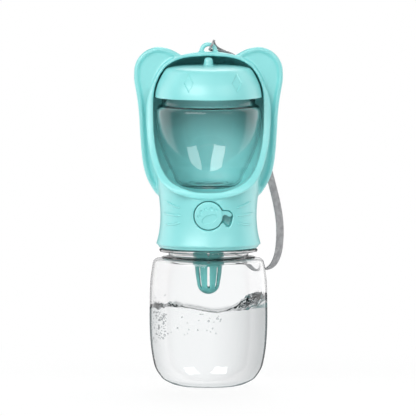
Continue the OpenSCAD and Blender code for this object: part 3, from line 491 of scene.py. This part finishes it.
EAR_EDGE = [(28.4, 120.3), (31.2, 119.1), (34.2, 122.1), (38.3, 129.3), (40.8, 137.7), (42.1, 147.3),
            (43, 160.1), (43.5, 169.1), (44.1, 175.5), (45, 182), (46.4, 190), (46.7, 194.8), (46.1, 201),
            (43.6, 206), (39.5, 209.9), (35, 211.9), (30.8, 212.4), (24.1, 211.1), (17.4, 207.5),
            (12.4, 203.7)]
EAR_ROOT, EAR_PLATE, EAR_BEAD, EAR_MIDDLE = (22, 165), (2.3, 3.9), (1.6, 1.75), 2.3
RING_AT, RING_R, RING_WIRE = (0, 3.5, 209.7), 4.35, 1.45
BOWL, BOWL_TOP = [(17, 120.7), (21.5, 122.3), (25.2, 125.8), (27.2, 130.5), (27.5, 133.7)], 140.7
DECK_Z, DECK_TOP, BORE_R, CHAMBER_R = 97.7, 99.7, 27, 28.2
AXIS_Z, WELL_R, WELL_FLOOR, WELL_WALL = 108.8, 9.15, -21.5, 1.5
TAIL_TOP = [(8.4, 3.1), (9.4, 2.8), (11.9, 2.75), (13, 2.2), (13.9, 1.4), (14.6, 0.5)]
TAIL_UNDER = [(14.4, -0.2), (13.6, -0.85), (13, -0.85), (12.2, -0.35), (11.2, 0.25), (10.3, 0.45), (9.6, 0.2),
              (8.9, -0.5)]
TAIL_ROOT, LOCK_TURN = [(7, 3.4), (7, -0.6)], 26
ROD_R, KNOB_GAP, EASED = 1.75, 0.35, 0.1
OUTLET_Y, OUTLET_R = -4.3, 4.3
SPIGOT_R, SPIGOT_BORE, SPIGOT_Z = 8.4, 6.9, 88
BOSS_X, BOSS_R, BOSS_Z = 13, 2.8, 92.7


def whole(right, steps):
    """A right half from the bottom to the top, closed with its mirror image: (half, whole)."""
    corners = [Vector(p) for p in right] + [Vector((-p[0], p[1])) for p in reversed(right[1:-1])]
    line = smooth_line(corners, steps, closed=True)
    return line[:steps * (len(right) - 1) + 1], line


def prism(bm, outline, low, high, axis="Y"):
    """An outline made solid from low to high: (x, z) along Y, or (y, z) along X."""
    place = (lambda p, d: (p[0], d, p[1])) if axis == "Y" else (lambda p, d: (d, p[0], p[1]))
    face = bm.faces.new([bm.verts.new(place(p, low)) for p in outline])
    grown = bmesh.ops.extrude_face_region(bm, geom=[face])["geom"]
    bmesh.ops.translate(bm, vec=place((0, 0), high - low),
                        verts=[item for item in grown if isinstance(item, bmesh.types.BMVert)])
    bmesh.ops.recalc_face_normals(bm, faces=bm.faces)
    return bm


def drum(bm, radius, low, high, x=0, y=0):
    """An upright cylinder."""
    bmesh.ops.create_cone(bm, cap_ends=True, segments=64, radius1=radius, radius2=radius, depth=high - low,
                          matrix=Matrix.Translation((x, y, (low + high) / 2)))
    return bm


def shaft(bm, radius, low, high, z=AXIS_Z, x=0):
    """A cylinder laid along Y."""
    turn = Matrix.Translation((x, (low + high) / 2, z)) @ Matrix.Rotation(math.pi / 2, 4, "X")
    bmesh.ops.create_cone(bm, cap_ends=True, segments=96, radius1=radius, radius2=radius, depth=high - low,
                          matrix=turn)
    return bm


def combine(steps, voxel=None, passes=0):
    """Adds, cuts or keeps drawn solids in turn, and can then round every edge as a mould does."""
    scratch = []
    for bm in (step[1] for step in steps):
        mesh = bpy.data.meshes.new("scratch")
        bm.to_mesh(mesh)
        bm.free()
        scratch.append(bpy.data.objects.new("scratch", mesh))
        scene.collection.objects.link(scratch[-1])
    base = scratch[0]
    for (action, _), other in zip(steps[1:], scratch[1:]):
        cut = base.modifiers.new(action, "BOOLEAN")
        cut.operation, cut.object, cut.solver = action, other, "MANIFOLD"
    if voxel:
        remesh = base.modifiers.new("remesh", "REMESH")
        remesh.mode, remesh.voxel_size = "VOXEL", voxel
        ease = base.modifiers.new("ease", "SMOOTH")
        ease.factor, ease.iterations = 0.5, passes
    result = bmesh.new()
    done = base.evaluated_get(bpy.context.evaluated_depsgraph_get())
    result.from_mesh(done.to_mesh())
    done.to_mesh_clear()
    for item in scratch:
        bpy.data.meshes.remove(item.data)
    return result


def polar(radius, degrees):
    """A point at a distance from the origin, turned up from +X."""
    return Vector((radius * math.cos(math.radians(degrees)), radius * math.sin(math.radians(degrees))))


def tail_outline(gap=0, swing=0):
    """The knob's hooked tail, or the pocket a gap wider that it swings down in."""
    top = [Vector(TAIL_ROOT[0]) + Vector((0, gap))] + moved(smooth_line(TAIL_TOP, 4), gap)
    under = [Matrix.Rotation(math.radians(-swing), 2) @ p
             for p in moved(smooth_line(TAIL_UNDER, 4), gap) + [Vector(TAIL_ROOT[1])]]
    reach = Vector(TAIL_TOP[-1]).length + gap
    arc = [polar(reach, -2 * k) for k in range(swing // 2 + 1)] if swing else []
    return [(p.x, AXIS_Z + p.y) for p in top + arc + under]


def rim_tube(bm):
    """The band round the opening: crowned in front, from just inside the opening to its own edge."""
    inner, outer = (evenly(whole(points, 6)[0], 90) for points in (OPENING, RIM_EDGE))
    face_y = reach_at(smooth_line(RIM_FACE, 8))
    crown = [(0.5 - 0.5 * math.cos(a), RIM_CROWN * (1 - math.sin(a) ** 0.8))
             for a in (math.pi * k / 10 for k in range(1, 11))]
    across = [(-RIM_INSIDE, RIM_DEPTH + RIM_SUNK), (-RIM_INSIDE, RIM_CROWN)] + crown + [(1, RIM_DEPTH)]
    loops = []
    for share, depth in across:
        half = [a.lerp(b, share) for a, b in zip(inner, outer)]
        line = half + [Vector((-p.x, p.y)) for p in reversed(half[1:-1])]
        loops.append([bm.verts.new((p.x, face_y(p.y) + depth, p.y)) for p in line])
    walls(bm, loops + loops[:1])
    bmesh.ops.recalc_face_normals(bm, faces=bm.faces)
    return bm


def ear(bm, side):
    """An ear's thin plate. The bead along its edge stands in front of it, so the ear is dished."""
    edge = smooth_line(EAR_EDGE, 6) + [Vector(EAR_ROOT)]
    return prism(bm, [(side * p.x, p.y) for p in edge], *EAR_PLATE)


def ear_bead(bm, side):
    """The bead along an ear's edge."""
    path = moved(smooth_line(EAR_EDGE, 6), EAR_BEAD[0])
    return sweep(bm, [Vector((side * p.x, EAR_MIDDLE, p.y)) for p in path], Vector((0, 1, 0)),
                 lambda i: [(EAR_BEAD[1] * math.cos(a), EAR_BEAD[0] * math.sin(a)) for a in circle(20)])


open_half, open_whole = whole(OPENING, 6)
hood_line = moved([Vector(p) for p in OPENING], -HOOD_WALL)
hood_half, hood_whole = whole([(0, HOOD_LOW), *hood_line[1:-1], (0, HOOD_TOP)], 6)
hood_side = [p for p in hood_half if p.y > HOOD_FROM]
collar_side = smooth_line(COLLAR_SIDE, 6)
collar_block = [*COLLAR_MOUTH, *collar_side, (0, SEAM_Z)]
body_block = [*COLLAR_MOUTH, *collar_side[:-1], *smooth_line(BOWL_SIDE, 6), *hood_side[:-1], (0, HOOD_TOP)]
bowl_cut = [(0, BOWL[0][1]), *smooth_line(BOWL, 6), (BOWL[-1][0], BOWL_TOP), (0, BOWL_TOP)]
front_cut = [*smooth_line(RIM_FACE, 6), (-70, 213), (-70, RIM_FACE[0][1])]

ring = bmesh.new()
quarter_turn = Matrix.Rotation(math.pi / 2, 4, "X")
bmesh.ops.create_circle(ring, segments=20, radius=RING_WIRE,
                        matrix=Matrix.Translation((RING_R, 0, 0)) @ quarter_turn)
bmesh.ops.spin(ring, geom=list(ring.verts) + list(ring.edges), axis=(0, 0, 1), cent=(0, 0, 0), angle=math.tau,
               steps=48, use_merge=True)
bmesh.ops.remove_doubles(ring, verts=ring.verts, dist=0.0005)
bmesh.ops.recalc_face_normals(ring, faces=ring.faces)
bmesh.ops.transform(ring, verts=ring.verts, matrix=Matrix.Translation(RING_AT) @ quarter_turn)

well_floor = WELL_FLOOR + 2 * EASED
tail_reach = Vector(TAIL_TOP[-1]).length + KNOB_GAP + WELL_WALL
sector = [(0, AXIS_Z)] + [(p.x, AXIS_Z + p.y) for p in (polar(tail_reach, 26 - 4 * k) for k in range(18))]
well_block = combine([
    ("", shaft(bmesh.new(), WELL_R + WELL_WALL, -40, WELL_FLOOR + WELL_WALL)),
    ("UNION", prism(bmesh.new(), sector, -40, WELL_FLOOR + WELL_WALL)),
    ("INTERSECT", lathe(bmesh.new(), collar_block))])
head_steps = [
    ("", lathe(bmesh.new(), body_block)),
    ("UNION", prism(bmesh.new(), hood_whole, -60, 0)),
    ("DIFFERENCE", prism(bmesh.new(), front_cut, -80, 80, axis="X")),
    ("UNION", rim_tube(bmesh.new())),
    ("UNION", ear(bmesh.new(), 1)), ("UNION", ear_bead(bmesh.new(), 1)),
    ("UNION", ear(bmesh.new(), -1)), ("UNION", ear_bead(bmesh.new(), -1)),
    ("UNION", ring),
    ("DIFFERENCE", prism(bmesh.new(), open_whole, -60, 0.01)),
    ("DIFFERENCE", lathe(bmesh.new(), open_half)),
    ("DIFFERENCE", lathe(bmesh.new(), bowl_cut)),
    ("DIFFERENCE", drum(bmesh.new(), BORE_R, 80, DECK_Z)),
    ("DIFFERENCE", drum(bmesh.new(), CHAMBER_R, DECK_TOP, SEAM_Z)),
    ("UNION", well_block),
    ("UNION", drum(bmesh.new(), SPIGOT_R, SPIGOT_Z, DECK_Z + 1)),
    ("UNION", drum(bmesh.new(), BOSS_R, BOSS_Z, DECK_Z + 1, BOSS_X)),
    ("UNION", drum(bmesh.new(), BOSS_R, BOSS_Z, DECK_Z + 1, -BOSS_X)),
    ("DIFFERENCE", shaft(bmesh.new(), WELL_R + EASED, -60, well_floor)),
    ("DIFFERENCE", prism(bmesh.new(), tail_outline(KNOB_GAP + EASED, LOCK_TURN), -60, well_floor)),
    ("DIFFERENCE", shaft(bmesh.new(), ROD_R + 0.45, -60, -15)),
    ("DIFFERENCE", drum(bmesh.new(), SPIGOT_BORE, 80, DECK_TOP + 1)),
    ("DIFFERENCE", drum(bmesh.new(), OUTLET_R, 110, 122, 0, OUTLET_Y))]
head_mesh = combine(head_steps, voxel=0.68, passes=5)


def cut_level(bm, z, keep_above):
    """The part of a mesh over or under a level, closed there."""
    half = bm.copy()
    found = bmesh.ops.bisect_plane(half, geom=list(half.verts) + list(half.edges) + list(half.faces),
                                   plane_co=(0, 0, z), plane_no=(0, 0, 1), clear_inner=keep_above,
                                   clear_outer=not keep_above)
    rim = [e for e in found["geom_cut"] if isinstance(e, bmesh.types.BMEdge)]
    bmesh.ops.triangle_fill(half, edges=rim, use_beauty=True)
    return half


def teal_finish(name, colour, deep, rough=0.4):
    """Satin polypropylene: faint flow tones, and a fine spark-eroded grain."""
    material, shader, at = new_finish(name, IOR=1.6, Specular_IOR_Level=1, Coat_Weight=0.5,
                                      Coat_Roughness=0.3)
    tone = at.noise(34, 2).ease(0.25, 0.75)
    surface(shader, at, tone.blend(colour, deep), rough + 0.1 * at.noise(2.5), at.noise(0.35, 2), 0.012, 0.35)
    return material


teal = teal_finish("teal_polypropylene", paint(122, 203, 203), paint(115, 199, 199))
trough_mesh = cut_level(head_mesh, SEAM_Z, True)
trough = piece("trough_moulding", trough_mesh, teal, "head", ["trough"], sharp=80)
collar_mesh = cut_level(head_mesh, SEAM_Z, False)
thread(collar_mesh, BORE_R, BORE_R - THREAD_DEPTH, THREAD_Z + THREAD_PITCH / 2)
collar = piece("collar_moulding", collar_mesh, teal, "head", ["collar"], sharp=80)
head_mesh.free()


# ---- Whiskers
# Three fine raised lines on each side of the knob, moulded with the collar and in the same
# plastic. They fade at both ends.
WHISKERS = [((17.4, 4.4), (26.6, 8)), ((17.4, -0.4), (27.8, 0.6)), ((17.6, -5), (27, -6.8))]
LINE_R, LINE_SUNK, LINE_RINGS = 0.75, 0.02, 28


def raised_line(bm, points, radius_at):
    """A fine ridge laid on a turned surface through points seen from the front, faded at its ends."""
    path = []
    for p in evenly(smooth_line(points, 8), LINE_RINGS):
        out = radius_at(p.y) - LINE_SUNK
        path.append(Vector((p.x, -math.sqrt(max(out ** 2 - p.x ** 2, 0)), p.y)))

    def section(i):
        radius = LINE_R * (0.25 + 0.75 * min(1, i / 4, (LINE_RINGS - 1 - i) / 4))
        return [(radius * math.cos(a), radius * math.sin(a)) for a in circle(8)]
    return sweep(bm, path, Vector((0, 1, 0)), section)


collar_radius = reach_at(collar_side)
whisker_mesh = bmesh.new()
for side in (-1, 1):
    for start, end in WHISKERS:
        middle = ((start[0] + end[0]) / 2, (start[1] + end[1]) / 2 - 0.25)
        raised_line(whisker_mesh, [(side * x, AXIS_Z + z) for x, z in (start, middle, end)], collar_radius)
whiskers = piece("whisker_lines", whisker_mesh, teal, "head", sharp=80)


# ---- Lock knob
# Turned down it locks, turned up it can be pressed. Same plastic as the head, with a paw
# sunk in its face and a hooked tail that runs in the collar's track.
KNOB_R, KNOB_FACE, KNOB_BACK = 8.8, -30.7, -25.1
ROD_FIT, ROD_END = 0.05, -27.95
PAD_AT, PAD_HALF, PAD_TURN = Vector((0.6, -2.2)), (5, 2.7), math.radians(22)
TOES = [(-5.8, -0.3), (-4.5, 2.4), (-1.7, 4.1), (1.7, 4.3), (4.7, 3.5)]
TOE_R, PAW_DEEP, TAIL_OUT = 1.0, 0.6, 30.6


def turned_on_y(bm, profile):
    """A (radius, y) outline turned round the knob's axis."""
    lathe(bm, profile, 128)
    turn = Matrix.Translation((0, 0, AXIS_Z)) @ Matrix.Rotation(-math.pi / 2, 4, "X")
    bmesh.ops.transform(bm, verts=bm.verts, matrix=turn)
    return bm


tail = combine([("", prism(bmesh.new(), tail_outline(), -45, KNOB_BACK)),
                ("INTERSECT", drum(bmesh.new(), TAIL_OUT, 80, 130))])
pad = [PAD_AT + Matrix.Rotation(PAD_TURN, 2) @ Vector((PAD_HALF[0] * math.cos(a), PAD_HALF[1] * math.sin(a)))
       for a in circle(48)]
disc = [(0, KNOB_FACE), (KNOB_R - 0.75, KNOB_FACE), (KNOB_R - 0.3, KNOB_FACE + 0.15),
        (KNOB_R, KNOB_FACE + 0.6), (KNOB_R, KNOB_BACK), (0, KNOB_BACK)]
paw_floor = KNOB_FACE + PAW_DEEP
knob_steps = [("", turned_on_y(bmesh.new(), disc)), ("UNION", tail),
              ("DIFFERENCE", prism(bmesh.new(), [(p.x, AXIS_Z + p.y) for p in pad], -40, paw_floor))]
for x, z in TOES:
    knob_steps.append(("DIFFERENCE", shaft(bmesh.new(), TOE_R, -40, paw_floor, AXIS_Z + z, x)))
knob_steps.append(("DIFFERENCE", shaft(bmesh.new(), ROD_R + ROD_FIT, ROD_END, -20)))
knob_mesh = combine(knob_steps, voxel=0.2, passes=4)
knob = piece("paw_knob", knob_mesh, teal, "knob", ["lock_knob"], sharp=80)


# ---- Food cup
# Clear copolyester, 1.7 mm thick. It stands in the trough, with a gate ring under its floor,
# a round shoulder, and a straight neck with four bayonet lugs for the lid.
CUP_FOOT = [(0, 124.9), (3, 124.9), (3.4, 124.6), (4.2, 124.6), (4.6, 124.9), (11.5, 124.9), (11.9, 124.35),
            (12.6, 124.3)]
CUP_SIDE = [(13.6, 124.3), (15.5, 124.8), (18.5, 126.3), (20.8, 128.8), (22.5, 132.8), (25.1, 137.9),
            (29.4, 147.7), (32.1, 157.2), (33.2, 166.8), (33.4, 170), (33.3, 172.6), (32.8, 174.1),
            (31.9, 175.4), (30.9, 176.2)]
CUP_FLOOR = [(14.5, 126.7), (12.5, 126.6), (0, 126.6)]
CUP_WALL, CUP_NECK_R, CUP_TOP = 1.7, 29.4, 186.5
LUG_Z, LUG_REACH, LUG_ARC, LUGS = (183.3, 184.9), 1.4, 26, 4


def lug(bm, low, high, inner, outer, middle, arc):
    """A block bent round Z, for a bayonet."""
    angles = [math.radians(middle - arc / 2 + arc * k / 10) for k in range(11)]
    corners = [(inner, low), (outer, low), (outer, high), (inner, high)]
    return skin(bm, [[bm.verts.new((r * math.cos(a), r * math.sin(a), z)) for r, z in corners]
                     for a in angles])


cup_outside = smooth_line(CUP_SIDE, 6)
cup_inside = [p for p in moved(cup_outside, CUP_WALL) if p.x > 15 and 126.9 < p.y < 174.2]
cup_bore = CUP_NECK_R - CUP_WALL
cup_neck = [(CUP_NECK_R + 0.5, 176.6), (CUP_NECK_R, 177.1), (CUP_NECK_R, CUP_TOP - 0.4),
            (CUP_NECK_R - 0.4, CUP_TOP), (cup_bore + 0.4, CUP_TOP), (cup_bore, CUP_TOP - 0.4),
            (cup_bore, 175.4), (cup_bore + 0.6, 174.8), (30.6, 174.6)]
cup_mesh = lathe(bmesh.new(), [*CUP_FOOT, *cup_outside, *cup_neck, *reversed(cup_inside), *CUP_FLOOR])
cup_finish = clear_finish("clear_cup", (0.985, 0.992, 0.992, 1), 1.5)
for k in range(LUGS):
    lug(cup_mesh, *LUG_Z, CUP_NECK_R - 0.5, CUP_NECK_R + LUG_REACH, 360 * k / LUGS, LUG_ARC)
cup = piece("clear_food_cup", cup_mesh, cup_finish, "cup", ["food_cup"], sharp=50)


# ---- Food lid
# Same teal plastic. It twists on the cup's lugs, has a stub to pull it by, and a shallow
# diamond sunk in each side of its front.
LID_SIDE = [(33.2, 181.2), (33.4, 181.5), (33.2, 184), (32.6, 186.9), (31.6, 190), (30.3, 192.8),
            (28.8, 195.6), (27.6, 197.5), (26.5, 198.7), (25, 199.5), (20, 200.4), (12, 200.9), (3.4, 201)]
LID_STUB = [(3.1, 201.3), (2.9, 203), (2.6, 204.5), (2.1, 205.4), (1.2, 205.85), (0, 205.95)]
LID_INSIDE = [(0, 198.8), (22.4, 198.8), (26, 188.2), (29.8, 188.2), (29.8, 187.2), (31.2, 187.2),
              (31.2, 181.5), (31.5, 181.2), (33.2, 181.2)]
CATCH_Z, CATCH_R = (181.5, 183), 31.7
DIAMONDS = [(-12.4, 191.6), (17.8, 191.6)]
DIAMOND_HALF, DIAMOND_EDGE, DIAMOND_DEEP = (3.2, 5.9), 0.5, 0.5

lid_mesh = lathe(bmesh.new(), [*LID_INSIDE, *smooth_line(LID_SIDE, 6)[1:], *smooth_line(LID_STUB, 3)])
for k in range(LUGS):
    lug(lid_mesh, *CATCH_Z, CUP_NECK_R + 0.4, CATCH_R, 360 * k / LUGS, LUG_ARC)


def diamond_faces(bm, centre, sides, room):
    """The front faces that lie in a diamond or within room of it."""
    found = []
    for face in bm.faces:
        middle = face.calc_center_median()
        flat = Vector((middle.x, middle.z))
        if middle.y < -15 and (flat - centre).length < DIAMOND_HALF[1] + 3:
            if all((flat - corner).cross(along) > -room for corner, along in sides):
                found.append(face)
    return found


for x, z in DIAMONDS:
    centre, (wide, tall) = Vector((x, z)), DIAMOND_HALF
    tips = [centre + Vector(tip) for tip in ((0, tall), (wide, 0), (0, -tall), (-wide, 0))]
    sides = [(a, (b - a).normalized()) for a, b in zip(tips, tips[1:] + tips[:1])]
    for corner, along in sides:
        near = diamond_faces(lid_mesh, centre, sides, 2)
        cut = {e for f in near for e in f.edges} | {v for f in near for v in f.verts}
        bmesh.ops.bisect_plane(lid_mesh, geom=near + list(cut), plane_co=(corner.x, 0, corner.y),
                               plane_no=(along.y, 0, -along.x))
    bmesh.ops.inset_region(lid_mesh, faces=diamond_faces(lid_mesh, centre, sides, 0),
                           thickness=DIAMOND_EDGE, depth=-DIAMOND_DEEP)
lid = piece("food_lid_moulding", lid_mesh, teal, "lid", ["food_lid"], sharp=40)


# ---- Strainer
# A deeper, slightly clear teal cage that twists on the collar's spigot and hangs in the bottle.
# Eight slots let the water in, and a slit across its neck lets the bayonet spring open.
STRAINER_TEAL = (paint(128, 212, 209), paint(116, 205, 202))
CAGE_OUT = [(7.3, 64.7), (7.8, 67.4), (8.2, 70), (8.45, 73), (8.6, 75.2), (9.5, 75.7), (9.6, 76.3),
            (9.5, 76.9), (7.9, 77.5), (7.7, 79.4), (9.6, 80.1), (9.8, 80.6), (9.8, 97.1), (9.5, 97.4),
            (8.6, 97.4)]
CAGE_IN = [(8.6, 81.4), (6.5, 80.8), (6.5, 77), (7.2, 74), (7.2, 72.5), (6.1, 64.7)]
CAGE_TIP_R, CAGE_TIP_Z, CAGE_WALL = 7.3, 64.7, 1.2
SLOT_W, SLOT_ENDS, SLOTS = 1.5, (62.2, 74.4), 8
SLIT = (81.4, 87.4)
BAYONET_LOW, BAYONET = 89.6, [(99, -45, 20), (92.2, -22.5, 65)]  # top, middle and arc in degrees


def arc_points(radius, z, start, step, count):
    """Points on a circle about the axis at a height, from start degrees on."""
    return [(radius * math.cos(a), z + radius * math.sin(a))
            for a in (math.radians(start + step * k) for k in range(count))]


tip = arc_points(CAGE_TIP_R, CAGE_TIP_Z, -90, 9, 10)
tip_inside = arc_points(CAGE_TIP_R - CAGE_WALL, CAGE_TIP_Z, -90, 9, 10)
slot_outline = arc_points(SLOT_W / 2, SLOT_ENDS[0], 180, 15, 13)
slot_outline += arc_points(SLOT_W / 2, SLOT_ENDS[1], 0, 15, 13)
cage_steps = [("", lathe(bmesh.new(), tip + CAGE_OUT + CAGE_IN + tip_inside[::-1]))]
for k in range(SLOTS):
    slot = prism(bmesh.new(), slot_outline, -14, -3)
    turn = Matrix.Rotation(math.tau * k / SLOTS, 3, "Z")
    bmesh.ops.rotate(slot, verts=slot.verts, cent=(0, 0, 0), matrix=turn)
    cage_steps.append(("DIFFERENCE", slot))
slit = [(side * SLOT_W / 2, z) for z, sides in zip(SLIT, ((-1, 1), (1, -1))) for side in sides]
cage_steps.append(("DIFFERENCE", prism(bmesh.new(), slit, -14, 14)))
for side in (0, 180):
    for high, middle, arc in BAYONET:
        cut = lug(bmesh.new(), BAYONET_LOW, high, SPIGOT_R, 12, side + middle, arc)
        cage_steps.append(("DIFFERENCE", cut))
cage_finish, shader, at = new_finish("translucent_teal", Transmission_Weight=0.2, IOR=1.45)
surface(shader, at, at.noise(12).ease(0.3, 0.7).blend(*STRAINER_TEAL), 0.24 + 0.1 * at.noise(1.5),
        at.noise(0.4), 0.012, 0.3)
cage_mesh = combine(cage_steps, voxel=0.3, passes=3)
cage = piece("strainer_moulding", cage_mesh, cage_finish, "strainer",
             ["strainer_cage"], sharp=80)


# ---- Seals, valve and screws
# Inside parts keep their CAD shape: silicone seals, white acetal valve parts, and a stainless
# rod, washer, spring and screws.
silicone, shader, at = new_finish("silicone", Subsurface_Weight=0.2, Subsurface_Scale=2 * MM)
surface(shader, at, at.noise(5).blend(paint(206, 213, 213), paint(222, 227, 227)), 0.5 + 0.15 * at.noise(0.8),
        at.noise(0.3), 0.02, 0.3)
acetal, shader, at = new_finish("white_acetal")
surface(shader, at, at.noise(8).blend(paint(228, 230, 229), paint(238, 239, 238)), 0.4 + 0.12 * at.noise(1.4),
        at.noise(0.3), 0.015, 0.3)
steel, shader, at = new_finish("drawn_stainless", Metallic=1.0)
drawn_out = at.make("Mapping", {"Vector": at, "Scale": (1, 0.04, 1)})
drawn = at.make("TexNoise", {"Vector": drawn_out, "Scale": 6000})
surface(shader, at, at.noise(1.5).blend(paint(178, 180, 183), paint(202, 204, 206)),
        0.22 + 0.16 * drawn, drawn, 0.006, 0.4)
INNER_PARTS = {
    silicone: ["neck_seal", "end_cap_seal", "valve_plug", "rod_seals", "outlet_seal", "inlet_seal",
               "lid_seal"],
    acetal: ["valve_block", "valve_end_cap"],
    steel: ["push_rod", "gland_washer", "return_spring", "valve_screws"]}
for material, names in INNER_PARTS.items():
    for name in names:
        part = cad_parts[name]
        part.data.materials.clear()
        part.data.materials.append(material)


# ---- Studio
# A white table in a grey room, with softboxes in front and behind and a narrow lamp on the cup.
# Two cards stand lower than the table, which reflections pass through, for low highlights.
TABLE_R = 4
LAMP_DISTANCE = 1.6
SOFTBOXES = {  # angle right of the front, angle up, width, height, brightness
    "softbox_left": (-31, 29, 1.4, 0.6, 4.8),
    "softbox_right": (41, 29, 0.75, 0.6, 2.2),
    "low_card_left": (-44, -46, 0.64, 0.76, 5),
    "low_card_right": (29, -46, 0.74, 0.76, 6.5),
    "softbox_back": (165, 55, 1.2, 0.7, 2.5)}
CUP_LAMP_AT, CUP_LAMP_WAY = Vector((0, 0, 145)) * MM, Vector((-0.1, -1, 0.12)).normalized()
CUP_LAMP_POWER, CUP_LAMP_CONE, CUP_LAMP_SOFT, CUP_LAMP_R = 45, math.radians(2.6), 0.9, 0.012
FILL, FRONT_FILL = (0.45, 0.455, 0.455, 1), (1.25, 1.25, 1.24, 1)
WHITE, BRIGHT, PANEL = (1, 1, 1, 1), (1.1, 1.1, 1.1, 1), (1.6, 1.6, 1.6, 1)
DARK, DIM = (0.08, 0.085, 0.09, 1), (0.06, 0.065, 0.075, 1)
ABOVE, RETURNED = (0.3, 0.36, 0.37, 1), (0.16, 0.3, 0.3, 1)

floor_finish, shader, at = new_finish("white_table", Roughness=0.6, Base_Color=(0.88, 0.88, 0.88, 1))
away = at.make("VectorMath", {0: at}, output="Value", operation="LENGTH").ease(0.03, 0.3)
straight = at.make("LightPath", {}, output="Is Camera Ray")
mixed = at.make("MixShader", {0: straight * (0.75 + 0.25 * away), 1: Wire(at.tree, shader.outputs[0]),
                              2: at.make("Emission", {"Color": WHITE})})
at.tree.links.new(mixed.socket, at.tree.nodes["Material Output"].inputs["Surface"])
bm = bmesh.new()
bmesh.ops.create_circle(bm, cap_ends=True, segments=96, radius=TABLE_R)
table_mesh = bpy.data.meshes.new("table")
bm.to_mesh(table_mesh)
bm.free()
table_mesh.materials.append(floor_finish)
table = bpy.data.objects.new("table", table_mesh)
scene.collection.objects.link(table)
table.visible_glossy = table.visible_transmission = False


def hang(name, lamp, target, towards):
    """Puts a lamp at its distance from a target, facing it, and out of sight through clear pieces."""
    light = bpy.data.objects.new(name, lamp)
    light.location = target + LAMP_DISTANCE * towards
    light.rotation_euler = (-towards).to_track_quat("-Z", "Y").to_euler()
    light.visible_transmission = False
    scene.collection.objects.link(light)
    return light


for name, (right, up, width, height, brightness) in SOFTBOXES.items():
    lamp = bpy.data.lights.new(name, "AREA")
    lamp.shape, lamp.size, lamp.size_y = "RECTANGLE", width, height
    lamp.energy = brightness * math.pi * width * height
    right, up = math.radians(right), math.radians(up)
    hang(name, lamp, frame_centre, Vector((math.sin(right) * math.cos(up), -math.cos(right) * math.cos(up),
                                           math.sin(up))))
lamp = bpy.data.lights.new("cup_lamp", "SPOT")
lamp.energy, lamp.spot_size, lamp.spot_blend = CUP_LAMP_POWER, CUP_LAMP_CONE, CUP_LAMP_SOFT
lamp.shadow_soft_size = CUP_LAMP_R
hang("cup_lamp", lamp, CUP_LAMP_AT, CUP_LAMP_WAY).visible_glossy = False

# What a ray sees of the room by its direction: +Y is behind the object, -Y is the camera.
# Gloss shows a pale room with dark flags at its sides, clear pieces show white behind and dark
# beside, and dull surfaces get a plain fill that is brighter from the front.
world = bpy.data.worlds.new("room")
scene.world = world
world.use_nodes = True
way = Wire(world.node_tree, world.node_tree.nodes.new("ShaderNodeTexCoord").outputs["Generated"])
across, ahead, up = (way.make("SeparateXYZ", {0: way}, output=axis) for axis in "XYZ")
aside = way.make("Math", {0: across}, operation="ABSOLUTE") + 0.8 * (0 - up).ease(0, 1)
flag = aside.ease(0.12, 0.2) * (1 - aside.ease(0.5, 0.6))
mirrored = ahead.ease(-0.1, 0.08).blend(DARK, flag.blend(PANEL, DARK))
behind = up.ease(0.25, 0.75).blend((ahead * ahead * (1 + 0.35 * across)).blend(DIM, BRIGHT), ABOVE)
bent = ahead.ease(-0.3, 0.02).blend(RETURNED, behind)
fill = ahead.ease(-0.9, 0.2).blend(FRONT_FILL, FILL)
colour = fill
for kind, tone in (("Is Glossy Ray", mirrored), ("Is Transmission Ray", bent), ("Diffuse Depth", fill),
                   ("Is Camera Ray", WHITE)):
    colour = way.make("LightPath", {}, output=kind).blend(colour, tone)
world.node_tree.links.new(colour.socket, world.node_tree.nodes["Background"].inputs["Color"])
